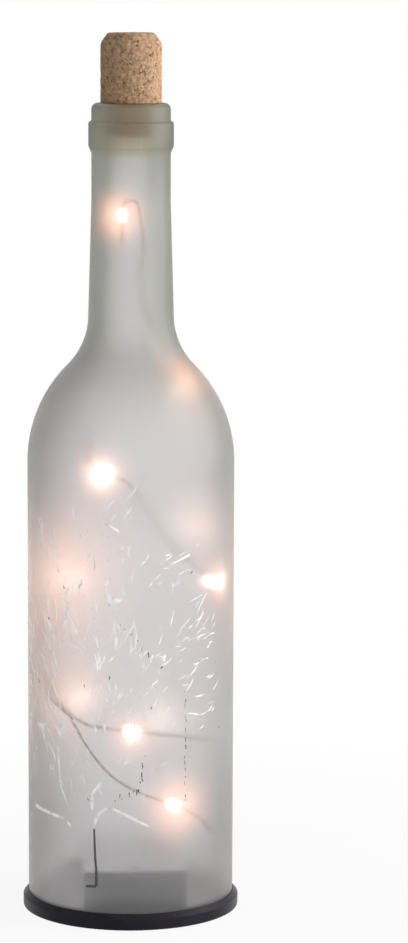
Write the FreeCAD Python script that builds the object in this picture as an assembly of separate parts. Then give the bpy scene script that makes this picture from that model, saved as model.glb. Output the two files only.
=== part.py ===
import FreeCAD, Part
import math
import os

# Cork bottle light: a frosted wine bottle on a black plastic base that holds
# the cells, a timer board and a string of ten small lamps on a thin wire.
# Millimetres, +Z up, origin at the centre of the underside, front towards -Y.

# Fits
SLIDE_FIT = 0.05
SEAT_FIT = 0.02
LOOSE_FIT = 0.3
OVERRUN = 1.0

# Glass bottle
BOTTLE_DIAMETER = 76.0
GLASS_WALL = 3.0
SHOULDER_HEIGHT = 166.9
SHOULDER_RADIUS = 50.0
NECK_BLEND_RADIUS = 26.0
NECK_ROOT_DIAMETER = 31.3
NECK_DIAMETER = 28.9
NECK_TAPER_LENGTH = 41.3
NECK_STRAIGHT_LENGTH = 17.7
COLLAR_DIAMETER = 31.1
COLLAR_CHAMFER_HEIGHT = 2.4
COLLAR_HEIGHT = 9.0
COLLAR_ROUND = 0.9
RIM_DIAMETER = 28.9
RIM_HEIGHT = 6.6
RIM_ROUND = 2.3
MOUTH_BORE = 19.2
FOOT_CHAMFER = 0.5

# Cork
CORK_DIAMETER = 22.4
CORK_STAND = 25.35
CORK_TOP_CHAMFER_WIDTH = 2.7
CORK_TOP_CHAMFER_HEIGHT = 3.7
CORK_PLUG_LENGTH = 12.0
CORK_PLUG_CHAMFER = 0.8

# Base disc
DISC_DIAMETER = 80.0
DISC_SIDE_HEIGHT = 4.0
DISC_HEIGHT = 5.8
DISC_EDGE_ROUND = 0.5
DISC_RIM_LAND = 0.25
STANDING_RING_WIDTH = 2.5
UNDERSIDE_RECESS = 0.8
FLOOR_THICKNESS = 3.8
GROOVE_FLOOR_THICKNESS = 1.5
GROOVE_GAP = 0.15
GLUE_THICKNESS = 0.5
SPIGOT_WALL = 2.0
SPIGOT_CHAMFER = 0.6

# Cells: three AAA
CELL_COUNT = 3
CELL_DIAMETER = 10.5
CELL_LENGTH = 44.5
CELL_PITCH = 11.2
CAP_DIAMETER = 3.8
CAP_LENGTH = 1.0
CAP_ROUND_SHARE = 1 / 3
CAN_EDGE_ROUND = 0.6
CAN_CRIMP_DEPTH = 0.35
CAN_CRIMP_PLACE = 2.4
CAN_CRIMP_WIDTH = 1.2

# Battery box
BOX_WALL = 1.6
BOX_CORNER_RADIUS = 2.0
PARTITION_THICKNESS = 1.2
CELL_HEADROOM = 0.4
COVER_WALL = 1.4
COVER_HEIGHT = 4.4
COVER_EDGE_ROUND = 0.6

# Battery door
DOOR_THICKNESS = 1.4
DOOR_GAP = 0.3
DOOR_HINGE_GAP = 0.6
DOOR_LEDGE = 1.8
DOOR_CORNER_RADIUS = 1.0
KNUCKLE_WIDTH = 16.0
HINGE_PIN_DIAMETER = 1.4
HINGE_PIN_LENGTH = 2.2
LATCH_WIDTH = 9.0
LATCH_LENGTH = 8.0
LATCH_SLOT = 0.8
THUMB_RIB_COUNT = 3
THUMB_RIB_PITCH = 1.6
THUMB_RIB_WIDTH = 0.8
THUMB_RIB_HEIGHT = 0.4
THUMB_RIB_INSET = 1.2

# Contacts
SHEET_THICKNESS = 0.3
CONTACT_WIDTH = 9.0
CONTACT_HEIGHT = 9.4
TAB_WIDTH = 2.0
TAB_SLOT_GAP = 0.25
TAB_RISE = 0.5
SPRING_ROOM = 5.7
SPRING_WIRE = 0.6
SPRING_BASE_DIAMETER = 7.6
SPRING_TIP_DIAMETER = 4.6
SPRING_TURNS = 4

# Timer board and what is soldered on it
BOARD_THICKNESS = 1.0
BOARD_POST_DIAMETER = 2.4
BOARD_POST_HEIGHT = 0.4
BOARD_POST_INSET = 3.0
CHIP_LENGTH = 4.9
CHIP_WIDTH = 3.9
CHIP_HEIGHT = 1.3
CHIP_LIFT = 0.15
CHIP_LEG_COUNT = 4
CHIP_LEG_PITCH = 1.27
CHIP_LEG_WIDTH = 0.4
CHIP_LEG_REACH = 1.0
CRYSTAL_DIAMETER = 1.4
CRYSTAL_LENGTH = 5.0
RESISTOR_COUNT = 2
RESISTOR_LENGTH = 3.2
RESISTOR_WIDTH = 1.6
RESISTOR_HEIGHT = 0.6
RESISTOR_PITCH = 3.0
CAPACITOR_LENGTH = 2.0
CAPACITOR_WIDTH = 1.25
CAPACITOR_HEIGHT = 0.9

# Places on the board, as shares of its half width and half length
CHIP_PLACE_SHARES = (0.0, 0.08)
CRYSTAL_PLACE_SHARES = (0.42, -0.28)
RESISTOR_PLACE_SHARES = (-0.1, 0.5)
CAPACITOR_PLACE_SHARES = (0.5, 0.12)

# Cover screws
SCREW_SHANK_DIAMETER = 2.0
SCREW_SHANK_LENGTH = 3.0
SCREW_HEAD_DIAMETER = 3.6
SCREW_HEAD_HEIGHT = 1.0
SCREW_SLOT_WIDTH = 0.5
SCREW_SLOT_DEPTH = 0.5
HEAD_ROUND_SHARE = 1 / 3
BOSS_WALL = 1.2
BOSS_EDGE_MARGIN = 1.0
COUNTERBORE_DEPTH = 1.2
COUNTERBORE_GAP = 0.2
COUNTERBORE_WALL = 0.8
COVER_BOSS_DROP = 0.6

# Slide switch
SWITCH_TRAVEL = 4.0
SWITCH_WIDTH = 4.4
SWITCH_LENGTH = 9.8
SWITCH_HEIGHT = 3.4
SWITCH_BOARD_THICKNESS = 1.0
SWITCH_EAR_LENGTH = 3.7
SLIDER_BLOCK_LENGTH = 5.0
SLIDER_BLOCK_HEIGHT = 1.4
SLIDER_SIDE_FIT = 0.1
LEVER_WIDTH = 2.4
LEVER_LENGTH = 3.2
LEVER_RECESS = 0.3
LEVER_GROOVE_DEPTH = 0.3
LEVER_GROOVE_WIDTH = 0.5
WINDOW_GAP = 0.3
WELL_DEPTH = 2.4
WELL_MARGIN = 1.6
WELL_CORNER_RADIUS = 1.5
TERMINAL_COUNT = 3
TERMINAL_PITCH = 3.0
TERMINAL_WIDTH = 1.2
TERMINAL_THICKNESS = 0.5
TERMINAL_RISE = 2.2
TERMINAL_DROP = 0.4
EAR_SCREW_DIAMETER = 1.4
EAR_SCREW_LENGTH = 2.4
EAR_SCREW_HEAD_DIAMETER = 2.6
EAR_SCREW_HEAD_HEIGHT = 0.8

# Leads from the switch to the board
LEAD_DIAMETER = 1.0
LEAD_NOTCH_GAP = 0.3
LEAD_RISE = 3.0
LEAD_INSET = 3.0

# Light string
WIRE_DIAMETER = 0.8
WIRE_HOLE_GAP = 0.4
BEAD_DIAMETER = 3.6
BEAD_LENGTH = 5.6
BEAD_BORE_GAP = 0.08
CHIP_LAMP_LENGTH = 1.6
CHIP_LAMP_WIDTH = 0.8
CHIP_LAMP_HEIGHT = 0.6
SEAL_DIAMETER = 6.0
SEAL_HEIGHT = 2.4

# Where the wire leaves the cover: angle from the front, share of the bore's radius and how far it stands up
WIRE_EXIT_ANGLE = 145
WIRE_EXIT_SHARE = 0.46
WIRE_STAND = 8.0

# The rest of its route: angle from the front in degrees, share of the bore's radius there, share of the
# height (0 at the cover's top, 1 at the shoulder, 2 at the neck's root, 3 at the collar), and True where
# a lamp sits on the run that starts there
WIRE_ROUTE = [
    (147, 0.586, 0.135, False),
    (153, 0.749, 0.237, True),
    (147, 0.817, 0.392, False),
    (125, 0.886, 0.399, False),
    (103, 0.931, 0.304, False),
    (83, 0.949, 0.169, False),
    (61, 0.954, 0.054, False),
    (41, 0.971, 0.145, True),
    (6, 0.971, 0.201, False),
    (345, 0.977, 0.245, False),
    (328, 0.977, 0.325, False),
    (319, 0.974, 0.387, False),
    (306, 0.974, 0.416, False),
    (287, 0.969, 0.448, False),
    (265, 0.954, 0.477, False),
    (239, 0.857, 0.433, True),
    (202, 0.729, 0.311, False),
    (175, 0.786, 0.264, False),
    (143, 0.871, 0.284, False),
    (111, 0.886, 0.264, False),
    (81, 0.903, 0.291, False),
    (52, 0.943, 0.321, False),
    (23, 0.943, 0.349, True),
    (331, 0.943, 0.368, False),
    (318, 0.931, 0.388, False),
    (303, 0.931, 0.425, False),
    (285, 0.926, 0.473, False),
    (265, 0.897, 0.541, False),
    (245, 0.9, 0.615, True),
    (207, 0.9, 0.757, False),
    (191, 0.914, 0.859, False),
    (167, 0.923, 0.886, False),
    (143, 0.937, 0.832, True),
    (105, 0.937, 0.798, False),
    (93, 0.886, 0.69, False),
    (89, 0.829, 0.588, False),
    (77, 0.743, 0.581, False),
    (69, 0.937, 0.68, True),
    (44, 0.943, 0.754, False),
    (36, 0.629, 0.805, False),
    (20, 0.429, 0.886, False),
    (3, 0.514, 0.94, False),
    (354.5, 0.909, 0.98, True),
    (324.5, 0.911, 1.058, False),
    (316, 0.583, 1.15, False),
    (290, 0.522, 1.132, False),
    (262, 0.576, 1.095, False),
    (236, 0.667, 1.132, False),
    (207, 0.784, 1.243, False),
    (178, 0.871, 1.327, False),
    (140, 0.914, 1.401, True),
    (90, 0.916, 1.541, False),
    (92, 0.783, 1.764, False),
    (105, 0.512, 1.968, False),
    (115, 0.288, 2.157, False),
    (75, 0.345, 2.344, False),
    (40, 0.582, 2.488, False),
    (18, 0.76, 2.608, False),
    (13.2, 0.765, 2.72, False),
    (333.9, 0.768, 2.716, True),
    (334.7, 0.708, 2.537, False),
    (320, 0.487, 2.445, False),
]
ARC_SHARE = 0.45

# Heights that follow from the sizes above
FLOOR_TOP = UNDERSIDE_RECESS + FLOOR_THICKNESS
GROOVE_FLOOR = UNDERSIDE_RECESS + GROOVE_FLOOR_THICKNESS
GLASS_FOOT = GROOVE_FLOOR + GLUE_THICKNESS
DOOR_TOP = UNDERSIDE_RECESS + DOOR_THICKNESS
LEDGE_UNDERSIDE = DOOR_TOP + DOOR_GAP
CELL_AXIS = LEDGE_UNDERSIDE + CELL_DIAMETER / 2
PARTITION_UNDERSIDE = CELL_AXIS + CELL_DIAMETER / 2 + CELL_HEADROOM
BOX_TOP = PARTITION_UNDERSIDE + PARTITION_THICKNESS
BOARD_UNDERSIDE = BOX_TOP + BOARD_POST_HEIGHT
BOARD_TOP = BOARD_UNDERSIDE + BOARD_THICKNESS
COVER_TOP = BOX_TOP + COVER_HEIGHT
COVER_CEILING = COVER_TOP - COVER_WALL
BOSS_TOP = COVER_CEILING - COVER_BOSS_DROP
SCREW_SEAT = COVER_TOP - COUNTERBORE_DEPTH

# Half sizes of the box, its chamber, the door and the board
CHAMBER_HALF_X = CELL_COUNT * CELL_PITCH / 2
CHAMBER_HALF_Y = (CELL_LENGTH + SPRING_ROOM + 2 * SHEET_THICKNESS) / 2
BOX_HALF_X = CHAMBER_HALF_X + BOX_WALL
BOX_HALF_Y = CHAMBER_HALF_Y + BOX_WALL
CONTACT_FACE_Y = CHAMBER_HALF_Y - SHEET_THICKNESS
BOARD_HALF_X = BOX_HALF_X - COVER_WALL - 2 * LOOSE_FIT
BOARD_HALF_Y = CONTACT_FACE_Y
BOSS_RADIUS = SCREW_SHANK_DIAMETER / 2 + BOSS_WALL
BOSS_Y = BOARD_HALF_Y - BOSS_RADIUS - LOOSE_FIT - BOSS_EDGE_MARGIN
DOOR_RECESS_HALF_X = CHAMBER_HALF_X + DOOR_LEDGE
DOOR_RECESS_HALF_Y = BOX_HALF_Y + DOOR_GAP

# Radii of the bottle and the base
GLASS_RADIUS = BOTTLE_DIAMETER / 2
GLASS_BORE_RADIUS = GLASS_RADIUS - GLASS_WALL
MOUTH_RADIUS = MOUTH_BORE / 2
GROOVE_OUTER = GLASS_RADIUS + GROOVE_GAP
SPIGOT_OUTER = GLASS_BORE_RADIUS - GROOVE_GAP
SPIGOT_INNER = SPIGOT_OUTER - SPIGOT_WALL
DISC_RADIUS = DISC_DIAMETER / 2

# The shoulder: a round of the body meets the round of the neck root
SHOULDER_CENTRE_R = GLASS_RADIUS - SHOULDER_RADIUS
BLEND_CENTRE_R = NECK_ROOT_DIAMETER / 2 + NECK_BLEND_RADIUS
CENTRE_STEP_R = BLEND_CENTRE_R - SHOULDER_CENTRE_R
CENTRE_STEP_Z = math.sqrt((SHOULDER_RADIUS + NECK_BLEND_RADIUS) ** 2 - CENTRE_STEP_R ** 2)
SHOULDER_ANGLE = math.atan2(CENTRE_STEP_Z, CENTRE_STEP_R)
NECK_ROOT = SHOULDER_HEIGHT + CENTRE_STEP_Z
NECK_STRAIGHT = NECK_ROOT + NECK_TAPER_LENGTH
COLLAR_FOOT = NECK_STRAIGHT + NECK_STRAIGHT_LENGTH
COLLAR_TOP = COLLAR_FOOT + COLLAR_CHAMFER_HEIGHT + COLLAR_HEIGHT
MOUTH_TOP = COLLAR_TOP + RIM_HEIGHT

# Hinge line of the battery door
KNUCKLE_RADIUS = DOOR_THICKNESS
POCKET_RADIUS = KNUCKLE_RADIUS + DOOR_GAP
KNUCKLE_HALF = KNUCKLE_WIDTH / 2
HINGE_Z = DOOR_TOP
HINGE_Y = DOOR_RECESS_HALF_Y + POCKET_RADIUS

# The slide switch stands midway between the box and the spigot
SWITCH_X = -(BOX_HALF_X + SPIGOT_INNER) / 2
WELL_TOP = UNDERSIDE_RECESS + WELL_DEPTH
SWITCH_TOP = FLOOR_TOP + SWITCH_HEIGHT
SWITCH_BOARD_FOOT = SWITCH_TOP - SWITCH_BOARD_THICKNESS
TERMINAL_TOP = SWITCH_TOP + TERMINAL_RISE
EAR_SCREW_Y = SWITCH_LENGTH / 2 + SWITCH_EAR_LENGTH / 2
SLOT_HALF_Y = (LEVER_LENGTH + SWITCH_TRAVEL) / 2 + LOOSE_FIT
LEAD_LEVEL = BOARD_TOP + LEAD_DIAMETER / 2 + SEAT_FIT

ORIGIN = FreeCAD.Vector(0, 0, 0)
UP = FreeCAD.Vector(0, 0, 1)
ALONG_X = FreeCAD.Vector(1, 0, 0)


def point(x, y, z):
    return FreeCAD.Vector(x, y, z)


def box(x_low, x_high, y_low, y_high, z_low, z_high):
    corner = point(x_low, y_low, z_low)
    return Part.makeBox(x_high - x_low, y_high - y_low, z_high - z_low, corner)


def centred_box(x, y, half_x, half_y, z_low, z_high):
    return box(x - half_x, x + half_x, y - half_y, y + half_y, z_low, z_high)


def post(x, y, radius, z_low, z_high):
    return Part.makeCylinder(radius, z_high - z_low, point(x, y, z_low), UP)


def rod_along_x(half_length, y, z, radius):
    return Part.makeCylinder(radius, 2 * half_length, point(-half_length, y, z), ALONG_X)


def rounded_box(x, y, half_x, half_y, radius, z_low, z_high):
    body = centred_box(x, y, half_x, half_y, z_low, z_high)
    upright = [edge for edge in body.Edges if abs(edge.tangentAt(0).z) > 0.5]
    return body.makeFillet(radius, upright)


def rounded_top(body, radius):
    """The same body with the edges round its top face rounded."""
    top = body.BoundBox.ZMax
    rim = [edge for edge in body.Edges if edge.BoundBox.ZMin > top - SEAT_FIT]
    return body.makeFillet(radius, rim)


def arc_about(centre, radius, start_angle, end_angle):
    """An arc in the XZ plane about (r, z), from one angle to another."""
    def at(angle):
        return point(centre[0] + radius * math.cos(angle), 0, centre[1] + radius * math.sin(angle))
    return Part.Arc(at(start_angle), at((start_angle + end_angle) / 2), at(end_angle)).toShape()


def turned(stations):
    """A solid turned about Z from a closed outline of (r, z) points and arcs, in order."""
    edges = []
    first = None
    last = None
    for station in stations:
        arc = isinstance(station, Part.Shape)
        near = station.firstVertex(True).Point if arc else point(station[0], 0, station[1])
        if last is not None and last.distanceToPoint(near) > SEAT_FIT / 10:
            edges.append(Part.LineSegment(last, near).toShape())
        if first is None:
            first = near
        last = near
        if arc:
            edges.append(station)
            last = station.lastVertex(True).Point
    edges.append(Part.LineSegment(last, first).toShape())
    return Part.Face(Part.Wire(edges)).revolve(ORIGIN, UP, 360)


def save(name, shape):
    solids = shape.Solids
    for solid in solids:
        if not solid.isValid():
            raise ValueError(name + " holds a bad solid")
    kept = solids[0] if len(solids) == 1 else Part.Compound(solids)
    kept.exportStep("parts/" + name + ".step")
    print(name, "solids", len(solids), "volume", round(kept.Volume, 2))


def group(shapes):
    return Part.Compound(list(shapes))


# Tubes along a route of straight runs joined by arcs
def rounded_route(points):
    """The route's edges, with each corner an arc as large as its two runs allow."""
    edges = []
    radii = []
    start = points[0]
    for before, corner, after in zip(points, points[1:], points[2:]):
        back = before - corner
        ahead = after - corner
        step = ARC_SHARE * min(back.Length, ahead.Length)
        back.normalize()
        ahead.normalize()
        half_turn = (math.pi - back.getAngle(ahead)) / 2
        radius = step / math.tan(half_turn)
        bisector = back + ahead
        bisector.normalize()
        arc_start = corner + back * step
        arc_end = corner + ahead * step
        arc_middle = corner + bisector * (radius / math.cos(half_turn) - radius)
        edges.append(Part.LineSegment(start, arc_start).toShape())
        edges.append(Part.Arc(arc_start, arc_middle, arc_end).toShape())
        radii.append(round(radius, 1))
        start = arc_end
    edges.append(Part.LineSegment(start, points[-1]).toShape())
    return edges, radii


def tube(name, edges, diameter):
    path = Part.Wire(edges)
    start = path.Edges[0].firstVertex(True).Point
    heading = path.Edges[0].tangentAt(path.Edges[0].FirstParameter)
    section = Part.Wire(Part.Circle(start, heading, diameter / 2).toShape())
    solid = path.makePipeShell([section], True, False)
    expected = math.pi * diameter ** 2 / 4 * path.Length
    print(name, "length", round(path.Length, 1), "volume share", round(solid.Volume / expected, 5))
    return solid


# Glass bottle
def make_glass_bottle():
    shoulder = (SHOULDER_CENTRE_R, SHOULDER_HEIGHT)
    blend = (BLEND_CENTRE_R, NECK_ROOT)
    far_angle = math.pi + SHOULDER_ANGLE
    collar_r = COLLAR_DIAMETER / 2
    rim_r = RIM_DIAMETER / 2
    return turned([
        (GLASS_BORE_RADIUS + FOOT_CHAMFER, GLASS_FOOT),
        (GLASS_RADIUS - FOOT_CHAMFER, GLASS_FOOT),
        (GLASS_RADIUS, GLASS_FOOT + FOOT_CHAMFER),
        arc_about(shoulder, SHOULDER_RADIUS, 0, SHOULDER_ANGLE),
        arc_about(blend, NECK_BLEND_RADIUS, far_angle, math.pi),
        (NECK_DIAMETER / 2, NECK_STRAIGHT),
        (NECK_DIAMETER / 2, COLLAR_FOOT),
        (collar_r, COLLAR_FOOT + COLLAR_CHAMFER_HEIGHT),
        arc_about((collar_r - COLLAR_ROUND, COLLAR_TOP - COLLAR_ROUND), COLLAR_ROUND, 0, math.pi / 2),
        (rim_r, COLLAR_TOP),
        arc_about((rim_r - RIM_ROUND, MOUTH_TOP - RIM_ROUND), RIM_ROUND, 0, math.pi / 2),
        (MOUTH_RADIUS, MOUTH_TOP),
        (MOUTH_RADIUS, COLLAR_FOOT),
        (NECK_ROOT_DIAMETER / 2 - GLASS_WALL, NECK_ROOT),
        arc_about(blend, NECK_BLEND_RADIUS + GLASS_WALL, math.pi, far_angle),
        arc_about(shoulder, SHOULDER_RADIUS - GLASS_WALL, SHOULDER_ANGLE, 0),
        (GLASS_BORE_RADIUS, GLASS_FOOT + FOOT_CHAMFER),
    ])


def make_sealing_ring():
    inner = SPIGOT_OUTER + SEAT_FIT
    outer = GROOVE_OUTER - SEAT_FIT
    return turned([(inner, GROOVE_FLOOR), (outer, GROOVE_FLOOR), (outer, GLASS_FOOT), (inner, GLASS_FOOT)])


# Cork
def make_cork():
    plug_r = MOUTH_RADIUS - SLIDE_FIT
    plug_foot = MOUTH_TOP - CORK_PLUG_LENGTH
    cork_r = CORK_DIAMETER / 2
    cork_top = MOUTH_TOP + CORK_STAND
    return turned([
        (0, plug_foot),
        (plug_r - CORK_PLUG_CHAMFER, plug_foot),
        (plug_r, plug_foot + CORK_PLUG_CHAMFER),
        (plug_r, MOUTH_TOP),
        (cork_r, MOUTH_TOP),
        (cork_r, cork_top - CORK_TOP_CHAMFER_HEIGHT),
        (cork_r - CORK_TOP_CHAMFER_WIDTH, cork_top),
        (0, cork_top),
    ])


# Base disc with the battery box
def disc_blank():
    ring_outer = DISC_RADIUS - DISC_EDGE_ROUND
    ring_inner = ring_outer - STANDING_RING_WIDTH
    edge_centre = (ring_outer, DISC_EDGE_ROUND)
    return turned([
        (0, UNDERSIDE_RECESS),
        (ring_inner, UNDERSIDE_RECESS),
        (ring_inner, 0),
        arc_about(edge_centre, DISC_EDGE_ROUND, -math.pi / 2, 0),
        (DISC_RADIUS, DISC_SIDE_HEIGHT),
        (GROOVE_OUTER + DISC_RIM_LAND, DISC_HEIGHT),
        (GROOVE_OUTER, DISC_HEIGHT),
        (GROOVE_OUTER, GROOVE_FLOOR),
        (SPIGOT_OUTER, GROOVE_FLOOR),
        (SPIGOT_OUTER, DISC_HEIGHT - SPIGOT_CHAMFER),
        (SPIGOT_OUTER - SPIGOT_CHAMFER, DISC_HEIGHT),
        (SPIGOT_INNER, DISC_HEIGHT),
        (SPIGOT_INNER, FLOOR_TOP),
        (0, FLOOR_TOP),
    ])


def board_post_places():
    x = BOARD_HALF_X - BOARD_POST_INSET
    y = BOARD_HALF_Y - BOARD_POST_INSET
    return [(x, y), (-x, y), (-x, -y), (x, -y)]


def tab_slot(plate_x, side):
    """The slot in the partition for the solder tab of one end contact."""
    inner = side * (CONTACT_FACE_Y - TAB_SLOT_GAP)
    outer = side * CHAMBER_HALF_Y
    half = TAB_WIDTH / 2 + TAB_SLOT_GAP
    y_low, y_high = sorted((inner, outer))
    return box(plate_x - half, plate_x + half, y_low, y_high, CELL_AXIS, BOX_TOP + OVERRUN)


def hinge_pocket():
    half = KNUCKLE_HALF + DOOR_GAP
    round_pocket = rod_along_x(half, HINGE_Y, HINGE_Z, POCKET_RADIUS)
    way_in = box(-half, half, 0, HINGE_Y + POCKET_RADIUS, -OVERRUN, HINGE_Z)
    pin_hole = rod_along_x(
        KNUCKLE_HALF + HINGE_PIN_LENGTH + DOOR_GAP, HINGE_Y, HINGE_Z, HINGE_PIN_DIAMETER / 2 + SLIDE_FIT)
    return [round_pocket, way_in, pin_hole]


def switch_cuts():
    half_x = LEVER_WIDTH / 2 + WINDOW_GAP
    half_y = SLOT_HALF_Y
    well = rounded_box(
        SWITCH_X, 0, half_x + WELL_MARGIN, half_y + WELL_MARGIN, WELL_CORNER_RADIUS, -OVERRUN, WELL_TOP)
    window = centred_box(SWITCH_X, 0, half_x, half_y, 0, FLOOR_TOP + OVERRUN)
    hole_foot = FLOOR_TOP + SHEET_THICKNESS - EAR_SCREW_LENGTH - LOOSE_FIT
    hole_r = EAR_SCREW_DIAMETER / 2 + SEAT_FIT
    holes = [post(SWITCH_X, side * EAR_SCREW_Y, hole_r, hole_foot, FLOOR_TOP + OVERRUN) for side in (-1, 1)]
    return [well, window] + holes


def make_base_disc():
    box_shell = rounded_box(0, 0, BOX_HALF_X, BOX_HALF_Y, BOX_CORNER_RADIUS, UNDERSIDE_RECESS, BOX_TOP)
    added = [box_shell]
    for x, y in board_post_places():
        added.append(post(x, y, BOARD_POST_DIAMETER / 2, PARTITION_UNDERSIDE, BOARD_UNDERSIDE))
    for side in (-1, 1):
        added.append(post(0, side * BOSS_Y, BOSS_RADIUS, PARTITION_UNDERSIDE, BOSS_TOP))
    chamber = centred_box(0, 0, CHAMBER_HALF_X, CHAMBER_HALF_Y, -OVERRUN, PARTITION_UNDERSIDE)
    recess = centred_box(0, 0, DOOR_RECESS_HALF_X, DOOR_RECESS_HALF_Y, -OVERRUN, LEDGE_UNDERSIDE)
    cuts = [chamber, recess] + hinge_pocket() + switch_cuts()
    hole_foot = SCREW_SEAT - SCREW_SHANK_LENGTH - LOOSE_FIT
    for side in (-1, 1):
        hole_r = SCREW_SHANK_DIAMETER / 2 + SEAT_FIT
        cuts.append(post(0, side * BOSS_Y, hole_r, hole_foot, BOSS_TOP + OVERRUN))
        cuts.append(tab_slot(-side * CELL_PITCH, side))
    return disc_blank().fuse(added).removeSplitter().cut(cuts)


# Cover of the battery box, with its screws
def make_box_cover():
    outside = rounded_box(0, 0, BOX_HALF_X, BOX_HALF_Y, BOX_CORNER_RADIUS, BOX_TOP, COVER_TOP)
    outside = rounded_top(outside, COVER_EDGE_ROUND)
    inside = rounded_box(
        0, 0, BOX_HALF_X - COVER_WALL, BOX_HALF_Y - COVER_WALL, BOX_CORNER_RADIUS - COVER_WALL,
        BOX_TOP, COVER_CEILING)
    shell = outside.cut(inside)
    bore_r = SCREW_HEAD_DIAMETER / 2 + COUNTERBORE_GAP
    bosses = []
    cuts = []
    for side in (-1, 1):
        y = side * BOSS_Y
        bosses.append(post(0, y, bore_r + COUNTERBORE_WALL, BOSS_TOP, COVER_CEILING))
        cuts.append(post(0, y, bore_r, SCREW_SEAT, COVER_TOP + OVERRUN))
        cuts.append(post(0, y, SCREW_SHANK_DIAMETER / 2 + SEAT_FIT, BOX_TOP, COVER_TOP))
    wire_exit = exit_point(COVER_TOP)
    wire_hole_r = WIRE_DIAMETER / 2 + WIRE_HOLE_GAP
    cuts.append(post(wire_exit.x, wire_exit.y, wire_hole_r, BOX_TOP, COVER_TOP + OVERRUN))
    notch_half = LEAD_DIAMETER / 2 + LEAD_NOTCH_GAP
    cuts.append(box(
        -BOX_HALF_X - OVERRUN, -BOARD_HALF_X, -TERMINAL_PITCH - notch_half, notch_half,
        BOX_TOP - OVERRUN, LEAD_LEVEL + notch_half))
    return shell.fuse(bosses).cut(cuts)


def make_screw(x, y, seat, shank, head, length):
    """A pan head screw standing on its seat, slotted across."""
    head_diameter, head_height = head
    body = post(x, y, shank / 2, seat - length, seat)
    cap = post(x, y, head_diameter / 2, seat, seat + head_height)
    cap = rounded_top(cap, HEAD_ROUND_SHARE * head_height)
    top = seat + head_height
    slot = centred_box(
        x, y, head_diameter, SCREW_SLOT_WIDTH / 2, top - SCREW_SLOT_DEPTH, top + OVERRUN)
    return body.fuse(cap).cut(slot)


def make_cover_screws():
    head = (SCREW_HEAD_DIAMETER, SCREW_HEAD_HEIGHT)
    return group(
        make_screw(0, side * BOSS_Y, SCREW_SEAT, SCREW_SHANK_DIAMETER, head, SCREW_SHANK_LENGTH)
        for side in (-1, 1))


# Battery door
def make_battery_door():
    half_x = DOOR_RECESS_HALF_X - DOOR_GAP
    y_low = -DOOR_RECESS_HALF_Y + DOOR_GAP
    y_high = DOOR_RECESS_HALF_Y - DOOR_HINGE_GAP
    middle = (y_low + y_high) / 2
    plate = rounded_box(
        0, middle, half_x, (y_high - y_low) / 2, DOOR_CORNER_RADIUS, UNDERSIDE_RECESS, DOOR_TOP)
    lug = box(-KNUCKLE_HALF, KNUCKLE_HALF, middle, HINGE_Y, UNDERSIDE_RECESS, DOOR_TOP)
    knuckle = rod_along_x(KNUCKLE_HALF, HINGE_Y, HINGE_Z, KNUCKLE_RADIUS)
    pins = rod_along_x(KNUCKLE_HALF + HINGE_PIN_LENGTH, HINGE_Y, HINGE_Z, HINGE_PIN_DIAMETER / 2)
    rib_half = LATCH_WIDTH / 2 - LATCH_SLOT
    ribs = []
    for index in range(THUMB_RIB_COUNT):
        y = y_low + THUMB_RIB_INSET + index * THUMB_RIB_PITCH
        ribs.append(box(
            -rib_half, rib_half, y, y + THUMB_RIB_WIDTH, UNDERSIDE_RECESS - THUMB_RIB_HEIGHT, DOOR_TOP))
    slots = []
    for side in (-1, 1):
        slot_x = side * (LATCH_WIDTH + LATCH_SLOT) / 2
        slots.append(centred_box(
            slot_x, y_low, LATCH_SLOT / 2, LATCH_LENGTH, 0, DOOR_TOP + OVERRUN))
    return plate.fuse([lug, knuckle, pins] + ribs).removeSplitter().cut(slots)


# Cells: every other cell lies the other way round
def cell_sides():
    first = -(CELL_COUNT - 1) / 2
    return [((first + index) * CELL_PITCH, 1 if index % 2 == 0 else -1) for index in range(CELL_COUNT)]


def laid(shape, x, y, side):
    """A shape made along +Z, laid down at the cells' height to point along side times Y."""
    shape.rotate(ORIGIN, ALONG_X, -90 * side)
    shape.translate(point(x, y, CELL_AXIS))
    return shape


def make_cell(x, side):
    radius = CELL_DIAMETER / 2
    length = CELL_LENGTH - CAP_LENGTH
    crimp = length - CAN_CRIMP_PLACE
    can = turned([
        (0, 0),
        arc_about((radius - CAN_EDGE_ROUND, CAN_EDGE_ROUND), CAN_EDGE_ROUND, -math.pi / 2, 0),
        (radius, crimp - CAN_CRIMP_WIDTH / 2),
        (radius - CAN_CRIMP_DEPTH, crimp),
        (radius, crimp + CAN_CRIMP_WIDTH / 2),
        arc_about((radius - CAN_EDGE_ROUND, length - CAN_EDGE_ROUND), CAN_EDGE_ROUND, 0, math.pi / 2),
        (0, length),
    ])
    return laid(can, x, side * (CONTACT_FACE_Y - CELL_LENGTH), side)


def make_cell_cap(x, side):
    cap = rounded_top(post(0, 0, CAP_DIAMETER / 2, 0, CAP_LENGTH), CAP_ROUND_SHARE * CAP_LENGTH)
    return laid(cap, x, side * (CONTACT_FACE_Y - CAP_LENGTH), side)


# Springs: a cone of turns, each quarter turn two tangent arcs
def biarc(start, start_way, end, end_way):
    chord = end - start
    ways = start_way + end_way
    along = chord.dot(ways)
    bend = 2 * (1 - start_way.dot(end_way))
    reach = (math.sqrt(along ** 2 + bend * chord.dot(chord)) - along) / bend
    control_a = start + start_way * reach
    control_b = end - end_way * reach
    joint = (control_a + control_b) / 2
    return [arc_by_control(start, control_a, joint), arc_by_control(joint, control_b, end)]


def arc_by_control(start, control, end):
    """The arc that leaves start towards control and reaches end from it."""
    half_chord = (end - start).Length / 2
    rise = control - (start + end) / 2
    height = rise.Length
    rise.normalize()
    half_turn = math.atan2(height, half_chord)
    middle = (start + end) / 2 + rise * (half_chord * math.tan(half_turn / 2))
    return Part.Arc(start, middle, end).toShape()


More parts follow.
